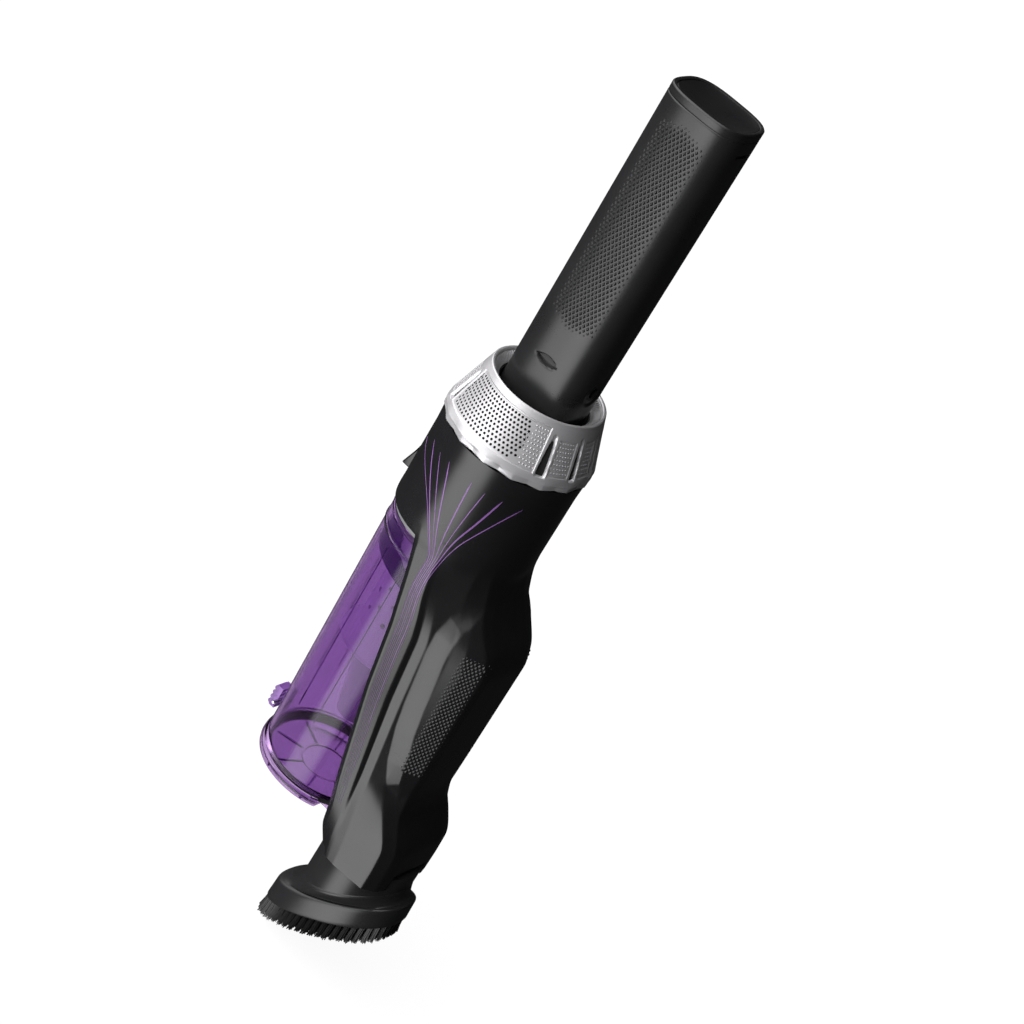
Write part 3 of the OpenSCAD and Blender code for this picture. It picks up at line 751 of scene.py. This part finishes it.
def in_screen(face):
    x, y, z = ((face.calc_center_median()[i] - (AXIS_X, 0, RIM_Z)[i]) / MM for i in range(3))
    if not SCREEN_LOW < z < SCREEN_TOP or math.hypot(x, y) < ring_radius(z) - 1.2:
        return False
    return -SCREEN_REAR < abs(math.degrees(math.atan2(y, x))) - 90 < SCREEN_FRONT


bm = bmesh.new()
bm.from_mesh(ring.data)
bmesh.ops.delete(bm, geom=[f for f in bm.faces if in_screen(f)], context="FACES")
bm.to_mesh(ring.data)
bm.free()
finish_piece(ring, "main_unit", "ring_silver", ["exhaust_ring"], angle=24)

# %% [markdown]
# Each screen is a staggered field of holes. One cell is modelled flat, a little rectangle with a round hole
# and the hole's wall, and the cells are laid side by side and wrapped on the cone. Dark foam closes the back.

# %% Screens with real holes
HOLE_SIDES, HOLE_DEEP, HOLE = 12, 0.25, 0.66
COLUMNS, SCREEN_ROWS = 21, 10


def on_cone(turn, z, push=0.0):
    return polar(ring_radius(z) - SCREEN_RECESS + push, math.radians(turn), z)


def cell(turn0, turn1, z0, z1, hole):
    """One cell of the screen: a rectangle of cone wall with a hole."""
    ct, cz = (turn0 + turn1) / 2, (z0 + z1) / 2
    edge, ring_pts, deep = [], [], []
    for i in range(HOLE_SIDES):
        a = math.tau * (i + 0.5) / HOLE_SIDES
        c, s = math.cos(a), math.sin(a)
        k = 1 / max(abs(c), abs(s))
        edge.append(on_cone(ct + (turn1 - turn0) / 2 * c * k, cz + (z0 - z1) / 2 * s * k))
        dt = math.degrees(hole / ring_radius(cz))
        ring_pts.append(on_cone(ct + dt * c, cz + hole * s))
        deep.append(on_cone(ct + dt * c, cz + hole * s, -HOLE_DEEP))
    points = edge + ring_pts + deep
    n, faces = HOLE_SIDES, []
    for i in range(n):
        j = (i + 1) % n
        faces += [(i, j, n + j, n + i), (n + i, n + j, 2 * n + j, 2 * n + i)]
    return points, faces


def screen(name, middle):
    points, faces = [], []
    first, last = sorted((middle - math.copysign(SCREEN_REAR, middle),
                          middle + math.copysign(SCREEN_FRONT, middle)))
    wide = (last - first) / COLUMNS
    tall = (SCREEN_LOW - SCREEN_TOP) / SCREEN_ROWS
    for row in range(SCREEN_ROWS):
        z0, z1 = SCREEN_TOP + row * tall, SCREEN_TOP + (row + 1) * tall
        start = first - (wide / 2 if row % 2 else 0)
        for col in range(COLUMNS + row % 2):
            t0, t1 = start + col * wide, start + (col + 1) * wide
            lo, hi = max(t0, first), min(t1, last)
            base = len(points)
            if hi - lo < wide * 0.9 or (row in (0, SCREEN_ROWS - 1) and col in (0, COLUMNS - 1)):
                points += [on_cone(lo, z0), on_cone(hi, z0), on_cone(hi, z1), on_cone(lo, z1)]
                faces.append((base, base + 1, base + 2, base + 3))
                continue
            p, f = cell(lo, hi, z0, z1, HOLE)
            points += p
            faces += [tuple(base + i for i in face) for face in f]
    obj = edit(piece_from(name, points, faces), weld, outward)
    outside = sum(math.copysign(1, middle) * p.normal.y for p in list(obj.data.polygons)[::24])
    return obj if outside > 0 else edit(obj, lambda: bpy.ops.mesh.flip_normals())


for sign, side_name in SIDES:
    finish_piece(screen(f"ring_screen_{side_name}", 90 * sign), "main_unit", "ring_silver", angle=24)
foam = spun("exhaust_foam", [(ring_radius(-4) - 1.5, -4), (ring_radius(-26) - 1.5, -26),
                              (ring_radius(-26) - 1.9, -26), (ring_radius(-4) - 1.9, -4)])
finish_piece(foam, "main_unit", "foam_black", ["exhaust_filter"], angle=30)

# %% [markdown]
# Beside the holes the pattern goes on as shallow domes that don't break through. A dome of two rings of faces
# is enough at half a millimetre, so one is made from a small sphere cut in half, and copied.

# %% Moulded dimples of the ring
def dome():
    """A low half of a sphere, one unit wide."""
    bpy.ops.mesh.primitive_uv_sphere_add(segments=8, ring_count=6, radius=0.5)
    return take_shape(edit(bpy.context.object, lambda: bpy.ops.mesh.bisect(
        plane_co=(0, 0, 0.02), plane_no=(0, 0, 1), clear_inner=True)))


bump_shape = dome()
spots = []
for side_turn in (-90, 90):
    for row in range(10):
        z = -5.5 - row * 2.0
        for k in range(5):
            rear = math.copysign(31.8 + (k + 0.5 * (row % 2)) * 2.7, side_turn)
            spots.append((side_turn - rear, z, 0.9))
    for sign in (-1, 1):
        for row in range(8):
            z = -9.0 - row * 2.0
            for k in range(6):
                spots.append((side_turn + sign * (57.2 + (k + 0.5 * (row % 2)) * 2.6), z, 0.75))
            for k in range(3):
                spots.append((side_turn + sign * (84.9 + (k + 0.5 * (row % 2)) * 2.5), z, 0.75))
placed = []
for turn, z, size in spots:
    r, a = ring_radius(z) - SCREEN_RECESS, math.radians(turn)
    n = Vector((math.cos(a), math.sin(a), 0.33)).normalized()
    placed.append((Vector((r * math.cos(a), r * math.sin(a), z)), n, Vector((0, 0, 1)), (size, size, 0.55)))
finish_piece(scatter("ring_dimples", bump_shape, placed), "main_unit", "ring_silver", angle=50)

# %% [markdown]
# Inside the rim a funnel leads down to the handle. Fine ribs run down its slope all the way round, as on a
# moulded air guide. The slope is a grid, and two columns of points in every five stand a little higher.

# %% Ribbed funnel
def funnel_rows():
    profile = [(28.3, -1.1, 0), (27.9, -1.4, 0.0), (27.3, -2.2, 0.9), (26.0, -3.5, 1.2), (24.9, -4.6, 1.0),
               (24.1, -5.0, 0.0), (24.3, -6.0, 0), (28.2, -3.5, 0)]
    rows = []
    for r, z, rib in profile:
        row = []
        for i in range(600):
            a, lift = math.tau * i / 600, rib * (1 if i % 5 in (1, 2) else 0)
            row.append(polar(r + lift * 0.3, a, z + lift))
        rows.append(row)
    return rows + [rows[0]]


funnel = skin("ring_funnel", funnel_rows(), capped=False)
finish_piece(funnel, "main_unit", "funnel_grey", ["exhaust_collar"], angle=28)
# the lip down into the handle wears the near-black finish as painted shade for the bore
lip = spun("funnel_lip", [(24.3, -5.3), (23.6, -5.6), (23.4, -6.2), (23.4, -12.0), (24.8, -12.0), (24.9, -6.2)])
finish_piece(lip, "main_unit", "painted_shade_black", angle=28)

# %% [markdown]
# The handle is a rounded tube that holds the battery. Its section is a squircle, so its sides are nearly flat
# and its corners soft. Both sides carry a field of fine diamonds that fades out at its ends, low on the side
# is a lens-shaped recess, and the round charging inlet sits on the back. The tube is a fine grid round the
# section, pressed in where the details are.

# %% Handle tube
HANDLE_X, HANDLE_Y, HANDLE_LEN, HANDLE_TAPER, HANDLE_POWER = 22.1, 18.0, 159.0, 0.965, 3.0


def handle_scale(z):
    return HANDLE_TAPER + (1 - HANDLE_TAPER) * z / HANDLE_LEN


def squircle(share):
    """How far out the handle's section is on one axis, at a share of its half width on the other."""
    return math.sqrt(1 - min(abs(share), 1) ** HANDLE_POWER) ** (2 / HANDLE_POWER)


def handle_point(turn, z, inset=0.0):
    k = handle_scale(z)
    c, s, p = math.cos(turn), math.sin(turn), 2 / HANDLE_POWER
    return Vector(((HANDLE_X * k - inset) * math.copysign(abs(c) ** p, c),
                   (HANDLE_Y * k - inset) * math.copysign(abs(s) ** p, s), z))


def handle_normal(turn, z):
    a, b = handle_point(turn - 0.01, z), handle_point(turn + 0.01, z)
    n = Vector((b.y - a.y, a.x - b.x, 0)).normalized()
    return n if n.dot(handle_point(turn, z)) > 0 else -n


LENS_Z = 17.5


def handle_relief(x, y, z):
    out = 0.0
    # lens recess on the left side: its two tips lie along the section
    if y < 0:
        across, up = (x + 0.5) / 7.0, (z - LENS_Z) / 2.9
        lens = 1 - across * across - abs(up)
        out -= 2.4 * float(ease(lens / 0.5)) if lens > 0 else 0.0
    # window of the power button on the front, seat of the inlet and the latch slot on the back
    if x < 0 and abs(y) < 6.9 and 7.4 < z < 31.2:
        out -= 0.9 * float(ease(min(6.9 - abs(y), z - 7.4, 31.2 - z) / 0.6))
    if x > 0:
        round_seat = 1 - math.hypot(y / 6.4, (z - 12) / 7.4)
        out -= 0.7 * float(ease(round_seat / 0.14))
        out -= 1.3 * float(ease((5 - abs(y)) / 0.8) * ease((1.0 - abs(z - 147)) / 0.5))
    # groove below the end rim, and the rim's soft edge
    out -= 0.28 * float(ease(1 - abs(z - 154.6) / 0.55))
    out -= 0.6 * float(ease((z - 158.3) / 0.9))
    return out


def handle_rows():
    turns = []
    for i in range(220):
        a = math.tau * i / 220
        turns.append(a + 0.10 * math.sin(4 * a))
    depths = np.concatenate([np.arange(-26, 5, 2.0), np.arange(5, 33, 0.5), np.arange(33, 144, 3.0),
                             np.arange(144, 159, 0.3), [159.0]])
    rows = []
    for z in depths:
        row = []
        for a in turns:
            p = handle_point(a, z)
            q = p + handle_normal(a, z) * handle_relief(p.x, p.y, z)
            row.append(at(*q))
        rows.append(row)
    for inset, z in ((1.5, 159.0), (2.1, 158.6), (2.2, 157.8), (2.2, 140), (2.2, -26)):
        rows.append([at(*handle_point(a, z, inset)) for a in turns])
    return rows + [rows[0]]


handle = skin("handle_tube", handle_rows(), capped=False)
cut(handle, rod((20, 0, 12), 4.35, 12, 64, (0, math.pi / 2, 0)))
finish_piece(handle, "main_unit", "handle_grey", ["handle_sleeve"], angle=34)

# %% Diamond texture of the handle
spots = []
for row in range(62):
    z = 36.0 + row * 1.86
    for col in range(-7, 8):
        x = (col + 0.5 * (row % 2)) * 2.25
        end = min(z - 36 + 1.5 - abs(x) * 0.35, 150 - z - abs(x) * 0.30, 15.0 - abs(x))
        fade = float(ease(min(end / 7.0, 1.0)))
        if fade < 0.06:
            continue
        for sign in (-1, 1):
            c = min(abs(x / (HANDLE_X * handle_scale(z))) ** (HANDLE_POWER / 2), 1.0)
            turn = sign * math.acos(math.copysign(c, x))
            p, n = handle_point(turn, z), handle_normal(turn, z)
            wide = 0.6 + 0.4 * fade
            spots.append((p - n * 0.03, n, Vector((0, 0, 1)), (2.75 * wide, 1.95 * wide, 2.3 * fade)))
finish_piece(scatter("handle_texture", knurl, spots), "main_unit", "handle_grey", angle=5)

# %% [markdown]
# The end cap is a shallow dish of smoother, darker plastic, set just inside the rim. It starts as a round disc
# whose rings are drawn in towards the middle and lowered, so that it catches light at both ends.

# %% End cap, power button, release button and status lens
def cap_rows():
    rows = []
    for inset, z in ((2.25, 155.6), (2.25, 158.1), (2.6, 158.35)):
        rows.append([at(*handle_point(math.tau * i / 96, z, inset)) for i in range(96)])
    for step in range(1, 15):
        share = 1 - step / 15
        z = 155.9 + 2.4 * share ** 2
        edge = [handle_point(math.tau * i / 96, z, 2.6) for i in range(96)]
        rows.append([at(p.x * share, p.y * share, z) for p in edge])
    return rows


cap = skin("end_cap", cap_rows())
finish_piece(cap, "main_unit", "cap_grey", ["handle_end_cap"], angle=40)


def patch_on_handle(name, half, z0, z1, stand, thick):
    """A button face that follows the front of the handle, with rounded corners and a soft edge."""
    rows, count = [], 28
    for k in range(count + 1):
        z, row = z0 + (z1 - z0) * k / count, []
        for i in range(count + 1):
            y = half * (2 * i / count - 1)
            near = min(half - abs(y), z - z0, z1 - z)
            x = -HANDLE_X * handle_scale(z) * squircle(y / (HANDLE_Y * handle_scale(z)))
            dish = -0.35 * float(ease(1 - math.hypot(y / half, (z - (z0 + z1) / 2) / (z1 - z0) * 2)))
            lift = stand * float(ease(near / 0.9)) + dish - 0.5
            row.append(at(x - lift, y, z))
        rows.append(row)
    obj = skin(name, rows, closed=False, capped=False)
    apply(obj, "SOLIDIFY", thickness=thick * MM, offset=-1)
    return obj


finish_piece(patch_on_handle("power_button_cap", 5.9, 8.5, 30.1, 0.75, 1.2), "power_button", "cap_grey",
             ["power_button"], angle=40)


def lens_rows():
    rows = []
    for k in range(25):
        across = -0.93 + 1.86 * k / 24
        row = []
        for i in range(9):
            up = (1 - across * across) * 0.9 * (2 * i / 8 - 1)
            x, z = across * 7.0 - 0.5, LENS_Z + up * 2.9
            y = -HANDLE_Y * handle_scale(z) * squircle(x / (HANDLE_X * handle_scale(z)))
            row.append(at(x, y + 2.35 - 0.5 * (1 - abs(2 * i / 8 - 1)), z))
        rows.append(row)
    return rows


lens = skin("status_window", lens_rows(), closed=False, capped=False)
apply(lens, "SOLIDIFY", thickness=0.5 * MM, offset=0)
finish_piece(lens, "main_unit", "lens_dark", ["status_lens"], angle=60)


def wedge():
    """The release button: a block whose face slopes out towards its lower end."""
    obj = block((-39.25, 0, -74), (3.7, 17.6, 13.8))
    obj.name = "release_button"
    only(obj)
    bpy.ops.object.transform_apply(location=True, rotation=True, scale=True)
    low_front = at(-41.1, 0, -80.9)
    for v in obj.data.vertices:
        if v.co.x < low_front.x + 0.5 * MM:
            v.co.x += (-1.7 if v.co.z < low_front.z + MM else 3.1) * MM
    return edit(obj, lambda: bpy.ops.mesh.bevel(offset=0.9 * MM, segments=4, affect="EDGES"), outward)


finish_piece(wedge(), "bin_release", "cap_grey", ["bin_release"], angle=40)

# %% [markdown]
# The dusting brush has a round neck that plugs into the duct, a shoulder that sweeps forward, and an oval block
# whose under side slopes. Its outlines change from an oval to a circle while the slope dies out, so it is
# lofted from the hollow of the mouth, round the bottom edge, up the wall and over the shoulder to the neck.

# %% Brush head
BLOCK_X, BLOCK_HALF_X, BLOCK_HALF_Y, BLOCK_POWER = 48.0, 34.5, 24.0, 2.3
NECK_X, NECK_R, BRUSH_SLOPE = 50.0, 25.2, 0.61


def oval(turn, inset=0.0):
    c, s, p = math.cos(turn), math.sin(turn), 2 / BLOCK_POWER
    return (BLOCK_X + (BLOCK_HALF_X - inset) * math.copysign(abs(c) ** p, c),
            (BLOCK_HALF_Y - inset) * math.copysign(abs(s) ** p, s))


def brush_row(inset, depth, to_neck=0.0, level=0.0, radius=NECK_R + 0.5):
    """One row round the brush: an oval that turns into the neck's circle, on a plane that levels out."""
    row = []
    for i in range(144):
        a = math.tau * i / 144
        x, y = oval(a, inset)
        cx, cy = NECK_X + radius * math.cos(a), radius * math.sin(a)
        x, y = x + (cx - x) * to_neck, y + (cy - y) * to_neck
        z = depth + BRUSH_SLOPE * (x - BLOCK_X) * (1 - level)
        row.append((x, y, z))
    return row


def brush_rows():
    rows = [brush_row(8.5, -304.0), brush_row(8.5, -309.4), brush_row(7.9, -310.0), brush_row(1.0, -310.0),
            brush_row(0.35, -309.6), brush_row(0.15, -308.8)]
    rows += [brush_row(0.15 + 0.5 * k / 6, -308.8 + 11.4 * k / 6) for k in range(1, 7)]
    rows += [brush_row(0.85, -296.7), brush_row(1.3, -296.2), brush_row(1.9, -295.95), brush_row(2.6, -295.85)]
    for k in range(1, 15):
        f = k / 14
        rows.append(brush_row(2.6, -295.85 + 1.4 * f + 5.4 * f ** 2.6, f ** 0.9))
    rows += [brush_row(0, -288.2, 1, 0, NECK_R + 0.35), brush_row(0, -287.6, 1, 0, NECK_R)]
    for k in range(1, 13):
        f = k / 12
        rows.append(brush_row(0, -287.6 + 24.4 * f, 1, float(ease(f)), NECK_R))
    rows += [brush_row(0, -262.5, 1, 1, NECK_R), brush_row(0, -262.1, 1, 1, NECK_R - 0.5),
             brush_row(0, -262.0, 1, 1, NECK_R - 1.2)]
    bevelled = []
    for row in rows:
        kept = []
        for x, y, z in row:
            if z > -276.8 and math.hypot(x - NECK_X, y) > NECK_R - 3:
                x = max(x, 23.7 + (z + 277) * 0.627)
            kept.append(at(x, y, z))
        bevelled.append(kept)
    return bevelled


head = skin("brush_shell", brush_rows())
cut(head, rod((SPIGOT_X, 0, -285), 9.8, 80, 96))
finish_piece(head, "brush", "brush_grey", ["brush_head"], angle=30)
spigot = spun("brush_spigot", [(9.8, -262.4), (9.8, -245.3), (10.3, -244.8), (11.3, -244.8), (11.82, -245.3),
                               (11.82, -247.7), (10.95, -247.8), (10.95, -249.2), (11.82, -249.3), (11.82, -253.7),
                               (10.95, -253.8), (10.95, -255.2), (11.82, -255.3), (11.82, -262.4)], x=SPIGOT_X)
finish_piece(spigot, "brush", "brush_grey", angle=30)

# %% [markdown]
# The bristles are tufts of stiff black nylon, punched into the rim of the block. One filament is a four-sided
# rod that thins and leans out a little, and every tuft is a small bundle of them. Random numbers from a fixed
# seed vary length and lean, as cut brushes do, and stay the same on every run.

# %% Bristle tufts
FILAMENTS, FILAMENT_RADIUS, TUFT_RADIUS, BRISTLE_LONG = 15, 0.34, 1.05, 11.0
BRUSH_REAR, BRUSH_LOW = 81.6, -341.95
GOLDEN_TURN = 2.399
dice = random.Random(11)


def filament(points, faces, root, tip, thick, side_way):
    """A thin rod of two lengths from root to tip, with four sides."""
    first, axis = len(points), (tip - root).normalized()
    u = axis.cross(side_way).normalized()
    v = axis.cross(u)
    bend = (root + tip) / 2 - side_way * 0.25
    for centre, r in ((root, thick), (bend, thick), (tip, thick * 0.75)):
        points += [centre + u * r, centre + v * r, centre - u * r, centre - v * r]
    for k in (0, 4):
        faces += [tuple(first + k + n for n in (i, (i + 1) % 4, 4 + (i + 1) % 4, 4 + i)) for i in range(4)]
    faces.append(tuple(first + 8 + i for i in range(4)))


def tufts(count, inset, shift):
    points, faces, walk, last = [], [], [], None
    for i in range(1441):
        x, y = oval(math.tau * i / 1440, inset)
        walk.append((walk[-1][0] + math.hypot(x - last[0], y - last[1]) if walk else 0.0, x, y))
        last = (x, y)
    whole = walk[-1][0]
    for t in range(count):
        s = whole * ((t + shift) % count) / count
        x = float(np.interp(s, [w[0] for w in walk], [w[1] for w in walk]))
        y = float(np.interp(s, [w[0] for w in walk], [w[2] for w in walk]))
        out = Vector(((x - BLOCK_X) / BLOCK_HALF_X ** 2, y / BLOCK_HALF_Y ** 2, 0)).normalized()
        lean = Vector((dice.uniform(-0.35, 0.35), dice.uniform(-0.35, 0.35), 0))
        for f in range(FILAMENTS):
            a, r = f * GOLDEN_TURN, TUFT_RADIUS * math.sqrt((f + 0.5) / FILAMENTS)
            dx, dy = r * math.cos(a), r * math.sin(a)
            rx, ry = x + dx, y + dy
            root = Vector((rx, ry, -309.0 + BRUSH_SLOPE * (rx - BLOCK_X)))
            tip_xy = Vector((rx + dx * 0.30, ry + dy * 0.30, 0)) + out * 1.1 + lean
            long = BRISTLE_LONG + 1.0 - dice.uniform(0.05, 1.5)
            tip_z = max(-310.0 - long + 1.0 + BRUSH_SLOPE * (tip_xy.x - BLOCK_X), BRUSH_LOW)
            tip = Vector((min(tip_xy.x, BRUSH_REAR), tip_xy.y, tip_z))
            filament(points, faces, root, tip, FILAMENT_RADIUS, out)
    return points, faces


outer, outer_faces = tufts(50, 2.1, 0.0)
inner, inner_faces = tufts(44, 4.9, 0.5)
bristles = piece_from("bristle_tufts", [at(*p) for p in outer + inner],
                      outer_faces + [tuple(len(outer) + i for i in f) for f in inner_faces])
finish_piece(bristles, "brush", "bristle_black", ["brush_bristles"], angle=40)

# %% [markdown]
# The dust bin is a slightly tapered clear cup with a grey collar on top. A raised bead runs round it below the
# collar, and inside hangs a perforated screen with a ramp that sends the air round. The cup is turned as one
# wall with both its faces, because clear plastic only looks right when light passes in and out of a real wall.

# %% Clear cup, collar and air ramp
CUP_WALL, INNER_TAPER = 1.8, 0.01641


def cup_radius(z):
    bead = 0.45 * math.exp(-((z + 101.5) / 0.55) ** 2) + 0.25 * math.exp(-((z + 92.5) / 0.5) ** 2)
    foot = 0.9 * float(ease((-243.0 - z) / 3.0))
    return cup_taper(z) + bead + foot


def inner_radius(z):
    return CUP_TOP - INNER_TAPER * (DRUM_LOW - z) - CUP_WALL


cup_depths = np.concatenate([np.arange(-90.2, -106, -0.35), np.arange(-106, -240, -6.0),
                             np.arange(-240, -246.1, -0.5)])
outer_wall = [(cup_radius(z), z) for z in cup_depths]
inner_wall = [(inner_radius(z), z) for z in cup_depths[::-3]] + [(34.5, -90.2)]
cup = spun("bin_cup_shell", outer_wall + inner_wall, steps=160)
finish_piece(cup, "dust_bin", "bin_purple", ["bin_cup"], angle=40)
collar = spun("bin_collar_ring", [(25.5, -94.0), (25.5, -88.0), (26.0, -87.5), (35.9, -87.5), (36.45, -87.9),
                                  (36.45, -89.2), (36.1, -89.9), (34.4, -90.1), (34.2, -93.6), (33.8, -94.0)])
finish_piece(collar, "dust_bin", "collar_grey", ["bin_collar"], angle=30)


def ramp_rows():
    """A strip that drops by 34 mm while it turns by 290 degrees round the screen."""
    rows = []
    for f in np.linspace(0, 1, 65):
        a, z = math.radians(-200 + 290 * f), -104 - 34 * f
        rows.append([polar(r, a, z + dz) for r, dz in ((22.7, 0), (34.0, 1.5), (34.0, 0.3), (22.7, -1.2))])
    return rows


finish_piece(skin("bin_air_ramp", ramp_rows()), "dust_bin", "ramp_purple", angle=30)
RIB_TOP, RIB_LOW = -107, -212
rib_ends = inner_radius(RIB_TOP), inner_radius(RIB_LOW)
rib_stations = ((rib_ends[0], RIB_TOP), (sum(rib_ends) / 2, -160), (rib_ends[1], RIB_LOW))


def spoke(turn, stations, section):
    """Rows of one section at places along a radius: each station is a radius, a middle x and a height."""
    u, v = Vector((math.cos(turn), math.sin(turn), 0)), Vector((-math.sin(turn), math.cos(turn), 0))
    return [[at(*(Vector((x, 0, z)) + u * (r + out) + v * w + Vector((0, 0, up)))) for out, w, up in section]
            for r, x, z in stations]


for i in range(0, 30, 2):
    half = 0.22 + 0.1 * (i % 3)
    rows = spoke(math.radians(12 * i + 5), [(r, 0, z) for r, z in rib_stations],
                 ((0.1, -half, 0), (0.1, half, 0), (-0.45, 0, 0)))
    finish_piece(skin(f"bin_wall_rib_{i // 2 + 1}", rows), "dust_bin", "bin_purple", angle=20)

# %% [markdown]
# The flap closes the cup with a thick rounded rim and swings down on a pin at its back. It is turned on the
# lathe, and its two rear corners are taken off so that it clears the wings of the housing. Raised rings and
# rays stiffen its inner face.

# %% Flap with its rim and stiffening rings
FLAP_X = 1.5
flap = spun("flap_shell", [(0, -249.5), (12.0, -249.5), (12.4, -248.9), (13.2, -248.9), (13.6, -249.5),
                           (33.4, -249.5), (34.5, -248.9), (34.8, -246.7), (35.2, -246.3), (36.1, -246.4),
                           (36.6, -247.2), (36.75, -249.2), (36.4, -250.8), (35.5, -251.5), (28, -251.5),
                           (26, -251.0), (0, -251.0)], steps=160, x=FLAP_X)
for size, x, y, turn in ((26, 34, 36.5, 0), (20, 32.2, 32.2, math.pi / 4)):
    for sign in (-1, 1):
        cut(flap, block((x, sign * y, -250), (size, size, size), turn))
cut(flap, block((39.4, 0, -247.8), (12, 7.6, 12)))
finish_piece(flap, "bin_flap", "bin_purple", ["bin_flap"], angle=35)
for i in range(8):
    rows = spoke(math.radians(45 * i + 20), [(r, FLAP_X, 0) for r in (14.0, 22.0, 29.6)],
                 ((0, -0.6, -249.55), (0, -0.35, -248.7), (0, 0.35, -248.7), (0, 0.6, -249.55)))
    finish_piece(skin(f"flap_ray_{i + 1}", rows), "bin_flap", "bin_purple", angle=20)
for sign, side_name in SIDES:
    knuckle = rod((36.3, sign * 6.5, -248), 2.2, 5, 32, (math.pi / 2, 0, 0))
    knuckle.name = f"flap_knuckle_{side_name}"
    edit(knuckle, lambda: bpy.ops.mesh.bevel(offset=0.4 * MM, segments=2, affect="EDGES"), outward)
    finish_piece(knuckle, "bin_flap", "bin_purple", angle=40)

# %% [markdown]
# The studio is a world of soft light: a broad lamp in front and above, a lower one that glossy plastic mirrors
# into the camera, a weak one on the left, and dark all round, which keeps black plastic black. The floor is a
# pale sheet. It glows a little, as a lit white sweep does, and isn't seen by mirrored or scattered light, so it
# leaves the object's underside to the soft lamps.

# %% Studio light
bpy.context.scene.view_settings.view_transform = "Standard"
world = bpy.data.worlds.new("studio")
bpy.context.scene.world = world
world.use_nodes = True
sky = world.node_tree
background = sky.nodes["Background"]
direction = sky.nodes.new("ShaderNodeTexCoord").outputs["Generated"]


def lamp(towards, inner, outer, power):
    """Soft light from one direction of the world, full inside one angle and gone outside the other."""
    dot = sky.nodes.new("ShaderNodeVectorMath")
    dot.operation = "DOT_PRODUCT"
    sky.links.new(direction, dot.inputs[0])
    dot.inputs[1].default_value = Vector(towards).normalized()
    ramp = sky.nodes.new("ShaderNodeMapRange")
    ramp.interpolation_type = "SMOOTHSTEP"
    sky.links.new(dot.outputs["Value"], ramp.inputs["Value"])
    ramp.inputs["From Min"].default_value = math.cos(math.radians(outer))
    ramp.inputs["From Max"].default_value = math.cos(math.radians(inner))
    ramp.inputs["To Max"].default_value = power
    return ramp.outputs["Result"]


BASE_LIGHT = 0.02
LAMPS = [((-0.45, -0.70, 0.60), 12, 58, 3.0), ((-0.12, -0.86, -0.49), 13, 27, 3.8),
         ((-0.9, 0.15, 0.45), 5, 40, 1.6)]
total = None
for towards, inner, outer, power in LAMPS:
    light = lamp(towards, inner, outer, power)
    if total is None:
        total = light
    else:
        add = sky.nodes.new("ShaderNodeMath")
        sky.links.new(total, add.inputs[0])
        sky.links.new(light, add.inputs[1])
        total = add.outputs[0]
base = sky.nodes.new("ShaderNodeMath")
base.inputs[1].default_value = BASE_LIGHT
sky.links.new(total, base.inputs[0])
sky.links.new(base.outputs[0], background.inputs["Strength"])
background.inputs["Color"].default_value = (1, 1, 1, 1)

bpy.ops.mesh.primitive_plane_add(size=12, location=(0, 0, 0))
floor = bpy.context.object
floor.name = "floor"
sheet = Paint("floor_white", Roughness=0.9, Emission_Strength=0.93)
sheet.shader.inputs["Base Color"].default_value = (0.10, 0.10, 0.10, 1)
sheet.shader.inputs["Emission Color"].default_value = (1, 1, 1, 1)
floor.data.materials.append(sheet.material)
floor.visible_glossy = floor.visible_diffuse = floor.visible_shadow = False
